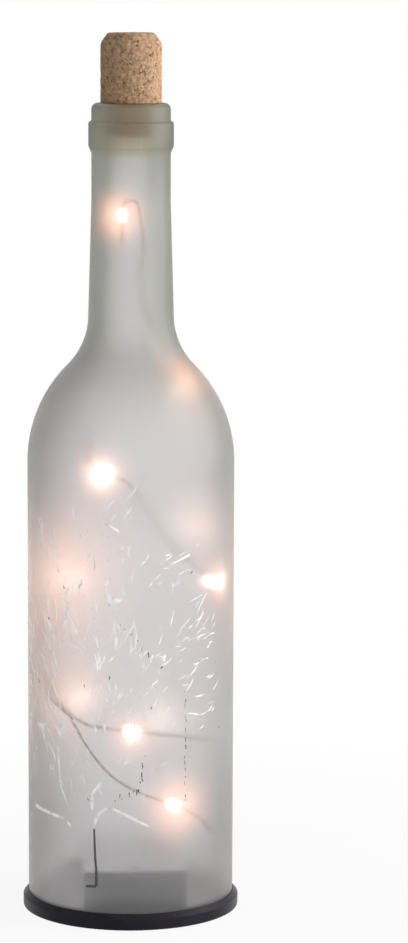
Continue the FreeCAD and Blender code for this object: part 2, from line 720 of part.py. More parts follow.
def make_spring(x, side):
    base = SPRING_BASE_DIAMETER / 2 - SPRING_WIRE / 2
    tip = SPRING_TIP_DIAMETER / 2 - SPRING_WIRE / 2
    rise = SPRING_ROOM - SPRING_WIRE
    quarters = 4 * SPRING_TURNS

    def station(index):
        share = index / quarters
        angle = index * math.pi / 2
        radius = base + (tip - base) * share
        place = point(radius * math.cos(angle), radius * math.sin(angle), SPRING_WIRE / 2 + rise * share)
        inward = (tip - base) / quarters * 2 / math.pi
        climb = rise / quarters * 2 / math.pi
        way = point(
            inward * math.cos(angle) - radius * math.sin(angle),
            inward * math.sin(angle) + radius * math.cos(angle), climb)
        way.normalize()
        return place, way

    edges = []
    for index in range(quarters):
        start, start_way = station(index)
        end, end_way = station(index + 1)
        edges += biarc(start, start_way, end, end_way)
    print("spring gap between turns", round(rise / SPRING_TURNS - SPRING_WIRE, 2))
    return laid(tube("contact_spring", edges, SPRING_WIRE), x, -side * CONTACT_FACE_Y, side)


# Contact plates, flat against the end walls of the chamber
def contact_plate(x_low, x_high, side):
    inner = side * CONTACT_FACE_Y
    outer = side * CHAMBER_HALF_Y
    y_low, y_high = sorted((inner, outer))
    return box(
        x_low, x_high, y_low, y_high, CELL_AXIS - CONTACT_HEIGHT / 2, CELL_AXIS + CONTACT_HEIGHT / 2)


def end_plate(side):
    """The plate of the first or last cell, with the tab that is soldered to the board."""
    x = -side * CELL_PITCH
    plate = contact_plate(x - CONTACT_WIDTH / 2, x + CONTACT_WIDTH / 2, side)
    tab = contact_plate(x - TAB_WIDTH / 2, x + TAB_WIDTH / 2, side)
    tab_box = tab.BoundBox
    tab = box(tab_box.XMin, tab_box.XMax, tab_box.YMin, tab_box.YMax, CELL_AXIS, BOARD_TOP + TAB_RISE)
    return plate.fuse(tab).removeSplitter()


def bridge_plate(side):
    """The plate that joins two cells in the row."""
    far = side * (CELL_PITCH + CONTACT_WIDTH / 2)
    near = -side * CONTACT_WIDTH / 2
    x_low, x_high = sorted((near, far))
    return contact_plate(x_low, x_high, side)


# Timer board
def make_circuit_board():
    board = centred_box(0, 0, BOARD_HALF_X, BOARD_HALF_Y, BOARD_UNDERSIDE, BOARD_TOP)
    holes = []
    for side in (-1, 1):
        holes.append(post(0, side * BOSS_Y, BOSS_RADIUS + LOOSE_FIT, BOX_TOP, BOSS_TOP))
    return board.cut(holes)


def place_on_board(shares):
    return shares[0] * BOARD_HALF_X, shares[1] * BOARD_HALF_Y


def make_timer_chip():
    x, y = place_on_board(CHIP_PLACE_SHARES)
    foot = BOARD_TOP + CHIP_LIFT
    body = centred_box(x, y, CHIP_WIDTH / 2, CHIP_LENGTH / 2, foot, foot + CHIP_HEIGHT)
    legs = []
    first = -(CHIP_LEG_COUNT - 1) / 2
    for index in range(CHIP_LEG_COUNT):
        leg_y = y + (first + index) * CHIP_LEG_PITCH
        legs.append(centred_box(
            x, leg_y, CHIP_WIDTH / 2 + CHIP_LEG_REACH, CHIP_LEG_WIDTH / 2, BOARD_TOP, foot + CHIP_LIFT))
    return body.fuse(legs)


def make_crystal_can():
    x, y = place_on_board(CRYSTAL_PLACE_SHARES)
    radius = CRYSTAL_DIAMETER / 2
    start = point(x - CRYSTAL_LENGTH / 2, y, BOARD_TOP + radius)
    return Part.makeCylinder(radius, CRYSTAL_LENGTH, start, ALONG_X)


def make_resistors():
    x, y = place_on_board(RESISTOR_PLACE_SHARES)
    half_x = RESISTOR_LENGTH / 2
    half_y = RESISTOR_WIDTH / 2
    return group(
        centred_box(x, y - index * RESISTOR_PITCH, half_x, half_y, BOARD_TOP, BOARD_TOP + RESISTOR_HEIGHT)
        for index in range(RESISTOR_COUNT))


def make_capacitor():
    x, y = place_on_board(CAPACITOR_PLACE_SHARES)
    return centred_box(
        x, y, CAPACITOR_LENGTH / 2, CAPACITOR_WIDTH / 2, BOARD_TOP, BOARD_TOP + CAPACITOR_HEIGHT)


# Slide switch
def terminal_places():
    first = -(TERMINAL_COUNT - 1) / 2
    return [(first + index) * TERMINAL_PITCH for index in range(TERMINAL_COUNT)]


def make_switch_shell():
    half_x = SWITCH_WIDTH / 2
    half_y = SWITCH_LENGTH / 2
    can = centred_box(SWITCH_X, 0, half_x, half_y, FLOOR_TOP, SWITCH_TOP)
    ear_half_y = half_y + SWITCH_EAR_LENGTH
    ears = centred_box(SWITCH_X, 0, half_x, ear_half_y, FLOOR_TOP, FLOOR_TOP + SHEET_THICKNESS)
    inside = centred_box(
        SWITCH_X, 0, half_x - SHEET_THICKNESS, half_y - SHEET_THICKNESS,
        FLOOR_TOP + SHEET_THICKNESS, SWITCH_TOP + OVERRUN)
    slot = centred_box(SWITCH_X, 0, LEVER_WIDTH / 2 + SLIDER_SIDE_FIT, SLOT_HALF_Y, 0, SWITCH_TOP)
    hole_r = EAR_SCREW_DIAMETER / 2 + SEAT_FIT
    holes = [post(SWITCH_X, side * EAR_SCREW_Y, hole_r, 0, SWITCH_TOP) for side in (-1, 1)]
    return can.fuse(ears).removeSplitter().cut([inside, slot] + holes)


def make_switch_board():
    half_x = SWITCH_WIDTH / 2 - SHEET_THICKNESS - SEAT_FIT
    half_y = SWITCH_LENGTH / 2 - SHEET_THICKNESS - SEAT_FIT
    plate = centred_box(SWITCH_X, 0, half_x, half_y, SWITCH_BOARD_FOOT, SWITCH_TOP)
    slots = []
    for y in terminal_places():
        slots.append(centred_box(
            SWITCH_X, y, TERMINAL_THICKNESS / 2 + SEAT_FIT, TERMINAL_WIDTH / 2 + SEAT_FIT, 0, TERMINAL_TOP))
    return plate.cut(slots)


def make_switch_terminals():
    return group(
        centred_box(
            SWITCH_X, y, TERMINAL_THICKNESS / 2, TERMINAL_WIDTH / 2,
            SWITCH_BOARD_FOOT - TERMINAL_DROP, TERMINAL_TOP)
        for y in terminal_places())


def make_switch_slider():
    y = -SWITCH_TRAVEL / 2
    block_foot = FLOOR_TOP + SHEET_THICKNESS + SLIDE_FIT
    tip = UNDERSIDE_RECESS + LEVER_RECESS
    block_half_x = SWITCH_WIDTH / 2 - SHEET_THICKNESS - SLIDER_SIDE_FIT
    block = centred_box(
        SWITCH_X, y, block_half_x, SLIDER_BLOCK_LENGTH / 2, block_foot, block_foot + SLIDER_BLOCK_HEIGHT)
    lever = centred_box(
        SWITCH_X, y, LEVER_WIDTH / 2, LEVER_LENGTH / 2, tip, block_foot + SLIDER_BLOCK_HEIGHT)
    grooves = []
    for offset in (-1, 0, 1):
        groove_y = y + offset * 2 * LEVER_GROOVE_WIDTH
        grooves.append(centred_box(
            SWITCH_X, groove_y, LEVER_WIDTH, LEVER_GROOVE_WIDTH / 2, 0, tip + LEVER_GROOVE_DEPTH))
    return block.fuse(lever).removeSplitter().cut(grooves)


def make_switch_screws():
    head = (EAR_SCREW_HEAD_DIAMETER, EAR_SCREW_HEAD_HEIGHT)
    seat = FLOOR_TOP + SHEET_THICKNESS
    return group(
        make_screw(SWITCH_X, side * EAR_SCREW_Y, seat, EAR_SCREW_DIAMETER, head, EAR_SCREW_LENGTH)
        for side in (-1, 1))


# Leads: up from the terminal, over at half a right angle, then level through the notch
def make_lead(name, y):
    bend = TERMINAL_TOP + LEAD_RISE
    level_x = SWITCH_X + LEAD_LEVEL - bend
    points = [
        point(SWITCH_X, y, TERMINAL_TOP),
        point(SWITCH_X, y, bend),
        point(level_x, y, LEAD_LEVEL),
        point(LEAD_INSET - BOARD_HALF_X, y, LEAD_LEVEL),
    ]
    edges, radii = rounded_route(points)
    print(name, "radii", radii)
    return tube(name, edges, LEAD_DIAMETER)


# Light string
def bore_radius(height):
    """The radius of the inside of the glass at a height."""
    shoulder = SHOULDER_RADIUS - GLASS_WALL
    blend = NECK_BLEND_RADIUS + GLASS_WALL
    root = NECK_ROOT_DIAMETER / 2 - GLASS_WALL
    if height <= SHOULDER_HEIGHT:
        return GLASS_BORE_RADIUS
    if height <= SHOULDER_HEIGHT + shoulder * math.sin(SHOULDER_ANGLE):
        return SHOULDER_CENTRE_R + math.sqrt(shoulder ** 2 - (height - SHOULDER_HEIGHT) ** 2)
    if height <= NECK_ROOT:
        return BLEND_CENTRE_R - math.sqrt(blend ** 2 - (NECK_ROOT - height) ** 2)
    return root + (MOUTH_RADIUS - root) * (height - NECK_ROOT) / (COLLAR_FOOT - NECK_ROOT)


def polar_point(angle, radius, height):
    """A point from its angle from the front, its distance from the axis and its height."""
    turn = math.radians(angle)
    return point(radius * math.sin(turn), -radius * math.cos(turn), height)


def exit_point(height):
    return polar_point(WIRE_EXIT_ANGLE, WIRE_EXIT_SHARE * GLASS_BORE_RADIUS, height)


def route_points():
    levels = (COVER_TOP, SHOULDER_HEIGHT, NECK_ROOT, COLLAR_FOOT)
    points = []
    for angle, radius_share, height_share, lamp in WIRE_ROUTE:
        band = int(height_share)
        low, high = levels[band:band + 2]
        height = low + (height_share - band) * (high - low)
        points.append(polar_point(angle, radius_share * bore_radius(height), height))
    return points


def lamp_placements():
    """Where each lamp sits: mid-run, along the wire, its chip facing out from the axis."""
    points = route_points()
    placements = []
    for index, station in enumerate(WIRE_ROUTE):
        if station[3]:
            along = points[index + 1] - points[index]
            middle = (points[index + 1] + points[index]) / 2
            outward = point(middle.x, middle.y, 0)
            turn = FreeCAD.Rotation(outward, ORIGIN, along, "ZXY")
            placements.append(FreeCAD.Placement(middle, turn))
    return placements


def lamp_box(low, extra):
    """The lamp chip's box, from a distance off the wire's axis outwards."""
    high = WIRE_DIAMETER / 2 + BEAD_BORE_GAP + SEAT_FIT + CHIP_LAMP_HEIGHT + extra
    half_y = CHIP_LAMP_WIDTH / 2 + extra
    half_z = CHIP_LAMP_LENGTH / 2 + extra
    return box(low, high, -half_y, half_y, -half_z, half_z)


def make_led_beads():
    bore = WIRE_DIAMETER / 2 + BEAD_BORE_GAP
    half = BEAD_LENGTH / 2
    swell = Part.Arc(point(bore, 0, -half), point(BEAD_DIAMETER / 2, 0, 0), point(bore, 0, half)).toShape()
    bead = turned([swell]).cut(lamp_box(0, SEAT_FIT))
    beads = []
    for placement in lamp_placements():
        copy = bead.copy()
        copy.Placement = placement
        beads.append(copy)
    return group(beads)


def make_led_chips():
    chips = []
    foot = WIRE_DIAMETER / 2 + BEAD_BORE_GAP + SEAT_FIT
    for placement in lamp_placements():
        chip = lamp_box(foot, 0)
        chip.Placement = placement.multiply(chip.Placement)
        chips.append(chip)
    return group(chips)


def make_light_wire():
    start = [exit_point(BOARD_TOP), exit_point(COVER_TOP + WIRE_STAND)]
    edges, radii = rounded_route(start + route_points())
    print("light_wire radii", radii)
    return tube("light_wire", edges, WIRE_DIAMETER)


def make_wire_seal():
    bore = WIRE_DIAMETER / 2 + SEAT_FIT
    dome_r = SEAL_DIAMETER / 2
    lean = math.sqrt(0.5)
    foot = point(dome_r, 0, 0)
    middle = point(bore + (dome_r - bore) * lean, 0, SEAL_HEIGHT * lean)
    top = point(bore, 0, SEAL_HEIGHT)
    drop = turned([(bore, 0), Part.Arc(foot, middle, top).toShape()])
    drop.translate(exit_point(COVER_TOP))
    return drop


os.makedirs("parts", exist_ok=True)
save("glass_bottle", make_glass_bottle())
save("sealing_ring", make_sealing_ring())
save("cork", make_cork())
save("base_disc", make_base_disc())
save("box_cover", make_box_cover())
save("cover_screws", make_cover_screws())
save("battery_door", make_battery_door())
save("battery_cells", group(make_cell(x, side) for x, side in cell_sides()))
save("cell_caps", group(make_cell_cap(x, side) for x, side in cell_sides()))
save("contact_springs", group(make_spring(x, side) for x, side in cell_sides()))
save("positive_plate", end_plate(1))
save("negative_plate", end_plate(-1))
save("rear_bridge_plate", bridge_plate(1))
save("front_bridge_plate", bridge_plate(-1))
save("circuit_board", make_circuit_board())
save("timer_chip", make_timer_chip())
save("crystal_can", make_crystal_can())
save("resistors", make_resistors())
save("capacitor", make_capacitor())
save("switch_shell", make_switch_shell())
save("switch_board", make_switch_board())
save("switch_terminals", make_switch_terminals())
save("switch_slider", make_switch_slider())
save("switch_screws", make_switch_screws())
save("red_lead", make_lead("red_lead", 0))
save("black_lead", make_lead("black_lead", -TERMINAL_PITCH))
save("light_wire", make_light_wire())
save("led_beads", make_led_beads())
save("led_chips", make_led_chips())
save("wire_seal", make_wire_seal())
print("lamps", sum(station[3] for station in WIRE_ROUTE), "neck top", round(MOUTH_TOP, 2))
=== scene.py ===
import math
import random
from functools import partial

import bmesh
import bpy
from bpy.props import FloatProperty, FloatVectorProperty, IntProperty, PointerProperty
from mathutils import Matrix, Vector, noise


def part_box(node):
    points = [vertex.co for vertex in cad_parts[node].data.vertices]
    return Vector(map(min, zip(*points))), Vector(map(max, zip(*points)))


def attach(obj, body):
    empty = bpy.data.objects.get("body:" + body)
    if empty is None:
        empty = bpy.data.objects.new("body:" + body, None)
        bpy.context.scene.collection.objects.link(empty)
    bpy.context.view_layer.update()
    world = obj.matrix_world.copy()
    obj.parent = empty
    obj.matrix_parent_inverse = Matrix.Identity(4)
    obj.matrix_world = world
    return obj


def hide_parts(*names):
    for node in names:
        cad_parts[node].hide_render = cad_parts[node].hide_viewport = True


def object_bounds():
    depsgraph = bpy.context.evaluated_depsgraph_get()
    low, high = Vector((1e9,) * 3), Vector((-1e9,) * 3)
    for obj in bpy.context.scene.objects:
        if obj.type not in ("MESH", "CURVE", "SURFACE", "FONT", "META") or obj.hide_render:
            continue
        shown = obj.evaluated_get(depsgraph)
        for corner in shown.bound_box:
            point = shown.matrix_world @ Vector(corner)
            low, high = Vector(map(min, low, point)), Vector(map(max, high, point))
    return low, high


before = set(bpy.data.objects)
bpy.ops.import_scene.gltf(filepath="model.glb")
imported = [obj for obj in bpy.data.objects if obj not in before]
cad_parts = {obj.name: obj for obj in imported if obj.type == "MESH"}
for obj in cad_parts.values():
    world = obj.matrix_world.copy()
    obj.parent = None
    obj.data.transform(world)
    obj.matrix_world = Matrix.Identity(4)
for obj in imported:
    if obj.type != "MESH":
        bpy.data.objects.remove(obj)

# Cork bottle light: a frosted wine bottle on a black base, with a string of
# ten small lamps inside. Metres, +Z up, the front towards -Y.

bl_info = {
    "name": "Cork bottle light",
    "version": (1, 0, 0),
    "blender": (4, 5, 0),
    "location": "3D View > Sidebar > Bottle light",
    "description": "Dresses the bottle light: glass, etching, lamps, cork, base and stage",
    "category": "Object",
}

MM = 0.001
cad_low, cad_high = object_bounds()
glass_low, glass_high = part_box("glass_bottle")
cork_low, cork_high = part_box("cork")
cover_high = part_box("box_cover")[1]
cells_low, cells_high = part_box("battery_cells")
board_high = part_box("circuit_board")[1]

WHITE = (1.0, 1.0, 1.0, 1.0)
BLACK = (0.0, 0.0, 0.0, 1.0)

# Where the wire leaves the box cover: angle from the front, share of the bore's radius, and how far it
# stands up
WIRE_EXIT_ANGLE = 145
WIRE_EXIT_SHARE = 0.46
WIRE_STAND = 0.008

# The rest of its route: angle from the front in degrees, share of the bore's radius there, share of
# the height (0 at the cover's top, 1 at the shoulder, 2 at the neck's root, 3 at the collar), and True
# where a lamp sits on the run that starts there
WIRE_ROUTE = [
    (147, 0.586, 0.135, False),
    (153, 0.749, 0.237, True),
    (147, 0.817, 0.392, False),
    (125, 0.886, 0.399, False),
    (103, 0.931, 0.304, False),
    (83, 0.949, 0.169, False),
    (61, 0.954, 0.054, False),
    (41, 0.971, 0.145, True),
    (6, 0.971, 0.201, False),
    (345, 0.977, 0.245, False),
    (328, 0.977, 0.325, False),
    (319, 0.974, 0.387, False),
    (306, 0.974, 0.416, False),
    (287, 0.969, 0.448, False),
    (265, 0.954, 0.477, False),
    (239, 0.857, 0.433, True),
    (202, 0.729, 0.311, False),
    (175, 0.786, 0.264, False),
    (143, 0.871, 0.284, False),
    (111, 0.886, 0.264, False),
    (81, 0.903, 0.291, False),
    (52, 0.943, 0.321, False),
    (23, 0.943, 0.349, True),
    (331, 0.943, 0.368, False),
    (318, 0.931, 0.388, False),
    (303, 0.931, 0.425, False),
    (285, 0.926, 0.473, False),
    (265, 0.897, 0.541, False),
    (245, 0.9, 0.615, True),
    (207, 0.9, 0.757, False),
    (191, 0.914, 0.859, False),
    (167, 0.923, 0.886, False),
    (143, 0.937, 0.832, True),
    (105, 0.937, 0.798, False),
    (93, 0.886, 0.69, False),
    (89, 0.829, 0.588, False),
    (77, 0.743, 0.581, False),
    (69, 0.937, 0.68, True),
    (44, 0.943, 0.754, False),
    (36, 0.629, 0.805, False),
    (20, 0.429, 0.886, False),
    (3, 0.514, 0.94, False),
    (354.5, 0.909, 0.98, True),
    (324.5, 0.911, 1.058, False),
    (316, 0.583, 1.15, False),
    (290, 0.522, 1.132, False),
    (262, 0.576, 1.095, False),
    (236, 0.667, 1.132, False),
    (207, 0.784, 1.243, False),
    (178, 0.871, 1.327, False),
    (140, 0.914, 1.401, True),
    (90, 0.916, 1.541, False),
    (92, 0.783, 1.764, False),
    (105, 0.512, 1.968, False),
    (115, 0.288, 2.157, False),
    (75, 0.345, 2.344, False),
    (40, 0.582, 2.488, False),
    (18, 0.76, 2.608, False),
    (13.2, 0.765, 2.72, False),
    (333.9, 0.768, 2.716, True),
    (334.7, 0.708, 2.537, False),
    (320, 0.487, 2.445, False),
]

# How each lamp shows on the glass, in the route's order: its halo's radius and strength, and its core's
LAMP_GLOWS = [
    (0.0080, 0.10, 0.0030, 0.00),
    (0.0095, 0.50, 0.0024, 0.40),
    (0.0125, 0.42, 0.0040, 0.00),
    (0.0070, 0.30, 0.0026, 0.60),
    (0.0185, 0.60, 0.0040, 0.00),
    (0.0105, 0.38, 0.0040, 0.00),
    (0.0065, 0.38, 0.0034, 0.75),
    (0.0072, 0.42, 0.0040, 0.85),
    (0.0105, 0.52, 0.0040, 0.00),
    (0.0074, 0.62, 0.0030, 0.12),
]

# Where the lamps' light gathers in the turned-away glass: angle, height, radius and strength
EDGE_WASHES = [
    (-76, 0.1250, 0.024, 0.05),
    (-76, 0.0880, 0.024, 0.05),
    (76, 0.1180, 0.020, 0.06),
    (52, 0.2010, 0.008, 0.30),
]
# The pale light in the foot, left of the battery box
FOOT_WASH = (-46, 0.0130, 0.0125, 0.07)

# The etched tree's limbs: angle from the front in degrees, height and width
TREE_LIMBS = {
    "trunk": [
        (-23, 0.0157, 0.0011), (-23, 0.0215, 0.0009), (-23.6, 0.0268, 0.0008), (-24.2, 0.0370, 0.0007)],
    "foot": [(-29.2, 0.0153, 0.0008), (-23.2, 0.0156, 0.0010)],
    "right bough": [
        (-24.2, 0.0380, 0.0009), (-21.5, 0.0425, 0.0012), (-15, 0.0450, 0.0009), (-4, 0.0418, 0.0011),
        (6.2, 0.0383, 0.0008)],
    "left bough": [
        (-70, 0.0408, 0.0015), (-52, 0.0400, 0.0012), (-43, 0.0390, 0.0010), (-38.6, 0.0368, 0.0008)],
    "leader": [(-25.4, 0.0440, 0.0010), (-25, 0.0500, 0.0011), (-19.8, 0.0545, 0.0007)],
    "left leader": [(-39.5, 0.0432, 0.0006), (-45.6, 0.0515, 0.0008), (-48.0, 0.0660, 0.0005)],
    "high twig": [(-21.5, 0.1512, 0.0010), (-10, 0.1466, 0.0007)],
    "far twig": [(18, 0.1343, 0.0005), (30, 0.1372, 0.0008)],
}
# Limbs drawn in the dark strokes' painted shade
DARK_LIMBS = ("trunk", "foot")
# Sprays of short twigs: middle angle and height, half of each spread, lean in degrees, count and length
TREE_SPRAYS = [
    (35, 0.108, 15, 0.009, 38, 14, 0.0055),
    (38, 0.084, 12, 0.012, 72, 14, 0.0030),
    (9, 0.102, 11, 0.010, 48, 18, 0.0026),
    (-16, 0.102, 11, 0.015, 8, 20, 0.0064),
    (-3, 0.081, 17, 0.010, 22, 20, 0.0030),
    (-40, 0.113, 9, 0.013, -4, 22, 0.0050),
    (-55, 0.104, 11, 0.016, -30, 20, 0.0045),
    (-49, 0.072, 17, 0.019, -20, 32, 0.0050),
    (-77, 0.098, 8, 0.030, -10, 40, 0.0026),
    (-20, 0.134, 17, 0.013, 12, 20, 0.0040),
    (-15, 0.153, 14, 0.007, 30, 9, 0.0040),
    (-55, 0.140, 9, 0.010, -24, 8, 0.0050),
    (15, 0.132, 15, 0.007, 50, 10, 0.0035),
    (1, 0.058, 17, 0.009, 45, 13, 0.0023),
    (-28, 0.058, 11, 0.012, -8, 12, 0.0026),
]
# Dotted seams: start and end as angle and height, and how many dots
TREE_SEAMS = [
    ((27.6, 0.0880), (27.4, 0.0470), 15),
    ((4.2, 0.0645), (0.8, 0.0530), 7),
    ((0.8, 0.0530), (-11.8, 0.0485), 6),
    ((-9, 0.1130), (5, 0.1030), 6),
]

# Kinds of settings
Length = partial(FloatProperty, unit="LENGTH")
Angle = partial(FloatProperty, subtype="ANGLE")
Tint = partial(FloatVectorProperty, subtype="COLOR", size=3)


class GlassSettings(bpy.types.PropertyGroup):
    wall: Length(name="Wall", description="Thickness of the body", default=0.003)
    shoulder_height: Length(
        name="Shoulder height", description="Where the body starts to turn in", default=0.1669)
    shoulder_radius: Length(name="Shoulder radius", description="Round of the shoulder", default=0.05)
    blend_radius: Length(name="Neck blend", description="Round that leads into the neck", default=0.026)
    root_diameter: Length(
        name="Neck root", description="Diameter where the neck starts", default=0.0313)
    neck_diameter: Length(name="Neck", description="Diameter below the collar", default=0.0289)
    taper_length: Length(name="Taper", description="Length of the tapered neck", default=0.0413)
    straight_length: Length(
        name="Straight neck", description="Length of the straight neck", default=0.0177)
    collar_diameter: Length(name="Collar", description="Diameter of the collar", default=0.0311)
    collar_chamfer: Length(
        name="Collar foot", description="Height of the slope under the collar", default=0.0024)
    collar_height: Length(
        name="Collar height", description="Height of the collar's wall", default=0.009)
    mouth_bore: Length(name="Mouth", description="Diameter of the mouth", default=0.0192)
    colour: Tint(name="Colour", description="Tint of the glass", default=(0.992, 0.980, 0.992))
    # The edge colour: a deeper tint of the longer path through the wall, and painted edge shade, where
    # the glass turns away
    edge_tint_and_shade: Tint(
        name="Edge colour", description="Tint where the glass turns away", default=(0.62, 0.60, 0.56))
    frost: FloatProperty(name="Frost", description="Roughness of the satin surface", default=0.36)
    milk: FloatProperty(
        name="Milk", description="Share of the light that the frost scatters", default=0.08)


class TreeSettings(bpy.types.PropertyGroup):
    density: FloatProperty(name="Density", description="Share of the sprays' twigs", default=1.45)
    dark_share: FloatProperty(
        name="Dark ticks", description="Share of twigs that show dark", default=0.045)
    stroke_width: Length(name="Stroke width", description="Widest part of a twig", default=0.00035)
    relief: Length(name="Relief", description="How far the etching stands proud", default=0.00006)
    colour: Tint(name="Colour", description="Bright strokes", default=(0.95, 0.95, 0.94))
    seed: IntProperty(name="Seed", description="Changes the strokes' places", default=11)


class LampSettings(bpy.types.PropertyGroup):
    bead_diameter: Length(name="Drop", description="Diameter of a resin drop", default=0.0036)
    bead_length: Length(name="Drop length", description="Length of a resin drop", default=0.0056)
    wire_diameter: Length(name="Wire", description="Both strands together", default=0.0008)
    twist: Length(name="Twist", description="Length of one twist of the strands", default=0.0075)
    core_colour: Tint(name="Core", description="Colour of the lit drops", default=(1.0, 0.90, 0.80))
    halo_colour: Tint(
        name="Halo", description="Colour of the glow on the glass", default=(1.0, 0.455, 0.265))
    power: FloatProperty(name="Power", description="Brightness of a drop", default=5.5)


class CorkSettings(bpy.types.PropertyGroup):
    colour: Tint(
        name="Colour", description="Middle colour of the grains", default=(0.585, 0.365, 0.212))
    dark: Tint(
        name="Dark grains", description="Colour of the dark grains and pits",
        default=(0.15, 0.085, 0.045))
    pit_depth: Length(name="Pits", description="Deepest pit", default=0.00045)
    corner: Length(name="Corner", description="Round of the top's edges", default=0.0008)


class BaseSettings(bpy.types.PropertyGroup):
    colour: Tint(name="Colour", description="Black moulded plastic", default=(0.010, 0.0085, 0.015))
    box_colour: Tint(
        name="Box colour", description="Battery box and its cover", default=(0.016, 0.016, 0.032))
    # How much paler the top of the box is drawn
    film: FloatProperty(name="Film", description="Pale film of dust on the top of the box", default=0.6)


class StageSettings(bpy.types.PropertyGroup):
    camera_place: FloatVectorProperty(
        name="Camera", description="Where the camera stands", subtype="TRANSLATION", unit="LENGTH",
        size=3, default=(-0.0857, -1.2975, 0.3564))
    camera_tilt: Angle(
        name="Tilt", description="The camera's turn about X", default=math.radians(81.535))
    camera_turn: Angle(
        name="Turn", description="The camera's turn about Z", default=math.radians(-4.963))
    camera_roll: Angle(
        name="Roll", description="The camera's turn about its line of sight",
        default=math.radians(0.21))
    lens: FloatProperty(name="Lens", description="Focal length in millimetres", default=136.5)
    floor_size: Length(name="Floor", description="Width of the floor", default=6.0)
    shadow_reach: Length(
        name="Shadow", description="How far from the base the floor shows shade", default=0.3)
    world_level: FloatProperty(
        name="Room light", description="Strength of the room's soft light", default=0.60)
    left_shade: FloatProperty(
        name="Left shade", description="How bright the glass shows what stands at its left",
        default=0.7)
    key_power: FloatProperty(
        name="Key", description="Power of the lamp at the right in watts", default=13.0)
    fill_power: FloatProperty(
        name="Fill", description="Power of the lamp at the left in watts", default=0.2)


class BottleLightSettings(bpy.types.PropertyGroup):
    glass: PointerProperty(type=GlassSettings)
    tree: PointerProperty(type=TreeSettings)
    lamps: PointerProperty(type=LampSettings)
    cork: PointerProperty(type=CorkSettings)
    base: PointerProperty(type=BaseSettings)
    stage: PointerProperty(type=StageSettings)


# Meshes
def place_object(name, data):
    """An object in the scene, at the origin."""
    item = bpy.data.objects.new(name, data)
    bpy.context.scene.collection.objects.link(item)
    return item


def piece_from(bm, name, body, sharp_degrees):
    """Turns a bmesh into a piece that rides on a body, smooth but for its sharp edges."""
    bmesh.ops.recalc_face_normals(bm, faces=bm.faces)
    limit = math.radians(sharp_degrees)
    for face in bm.faces:
        face.smooth = True
    for edge in bm.edges:
        edge.smooth = len(edge.link_faces) != 2 or edge.calc_face_angle(0) < limit
    mesh = bpy.data.meshes.new(name)
    bm.to_mesh(mesh)
    bm.free()
    piece = place_object(name, mesh)
    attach(piece, body)
    return piece


def arc(centre, radius, start, end, steps):
    """Points of an arc in an outline of (distance from the axis, height)."""
    points = []
    for index in range(steps + 1):
        angle = start + (end - start) * index / steps
        points.append((centre[0] + radius * math.cos(angle), centre[1] + radius * math.sin(angle)))
    return points


def spin_outline(outline, steps, closed):
    """A bmesh turned about Z from an outline of (distance from the axis, height)."""
    bm = bmesh.new()
    rim = [bm.verts.new((r, 0, z)) for r, z in outline]
    edges = [bm.edges.new(pair) for pair in zip(rim, rim[1:])]
    if closed:
        edges.append(bm.edges.new((rim[-1], rim[0])))
    bmesh.ops.spin(
        bm, geom=rim + edges, cent=(0, 0, 0), axis=(0, 0, 1), dvec=(0, 0, 0), angle=2 * math.pi,
        space=Matrix.Identity(4), steps=steps, use_merge=True, use_normal_flip=False,
        use_duplicate=False)
    bmesh.ops.remove_doubles(bm, verts=bm.verts, dist=MM / 1000)
    return bm


def polar(degrees, radius, height):
    """A point at an angle from the front, a distance from the axis and a height."""
    turn = math.radians(degrees)
    return Vector((radius * math.sin(turn), -radius * math.cos(turn), height))


def new_curve(name):
    curve = bpy.data.curves.new(name, "CURVE")
    curve.dimensions = "3D"
    return curve


def add_spline(curve, kind, places):
    spline = curve.splines.new(kind)
    spline.points.add(len(places) - 1)
    for control, place in zip(spline.points, places):
        control.co = (*place, 1.0)
    return spline


def mesh_of_curve(curve):
    """The mesh that Blender makes of a curve. The curve itself is removed."""
    holder = place_object("curve_holder", curve)
    bpy.context.view_layer.update()
    mesh = bpy.data.meshes.new_from_object(holder)
    bpy.data.objects.remove(holder)
    bpy.data.curves.remove(curve)
    return mesh


# Shader helpers
def fill(tree, node, inputs):
    """Links or sets a node's inputs, given by name or number."""
    for key, value in inputs.items():
        if isinstance(value, bpy.types.NodeSocket):
            tree.links.new(value, node.inputs[key])
        else:
            node.inputs[key].default_value = value


def add(tree, kind, inputs=(), **settings):
    """A node with its settings, and its inputs linked or set."""
    node = tree.nodes.new(kind)
    for key, value in settings.items():
        setattr(node, key, value)
    fill(tree, node, dict(inputs))
    return node


def math_node(tree, operation, first, second):
    return add(tree, "ShaderNodeMath", {0: first, 1: second}, operation=operation).outputs[0]


def times(tree, first, second):
    return math_node(tree, "MULTIPLY", first, second)


def vector_value(tree, operation, *vectors):
    """The number that an operation on vectors gives."""
    node = add(tree, "ShaderNodeVectorMath", dict(enumerate(vectors)), operation=operation)
    return node.outputs["Value"]


def part_of(tree, vector, letter):
    return add(tree, "ShaderNodeSeparateXYZ", {0: vector}).outputs[letter]


def mix_colour(tree, factor, first, second, blend="MIX"):
    inputs = {0: factor, 6: first, 7: second}
    return add(tree, "ShaderNodeMix", inputs, data_type="RGBA", blend_type=blend).outputs[2]


def span(tree, value, low, high, to_low=0.0, to_high=1.0):
    """The value carried from one range to another, and held there."""
    inputs = {0: value, 1: low, 2: high, 3: to_low, 4: to_high}
    return add(tree, "ShaderNodeMapRange", inputs).outputs[0]


def object_place(tree):
    return add(tree, "ShaderNodeTexCoord").outputs["Object"]


def height_of(tree):
    return part_of(tree, object_place(tree), "Z")


def upwards(tree):
    """1 where the surface faces up, 0 where it stands, -1 where it faces down."""
    return part_of(tree, add(tree, "ShaderNodeNewGeometry").outputs["Normal"], "Z")


def noise_at(tree, place, scale, detail):
    inputs = {"Vector": place, "Scale": scale, "Detail": detail}
    return add(tree, "ShaderNodeTexNoise", inputs).outputs[0]


def bump(tree, height, distance):
    return add(tree, "ShaderNodeBump", {"Height": height, "Distance": distance}).outputs[0]


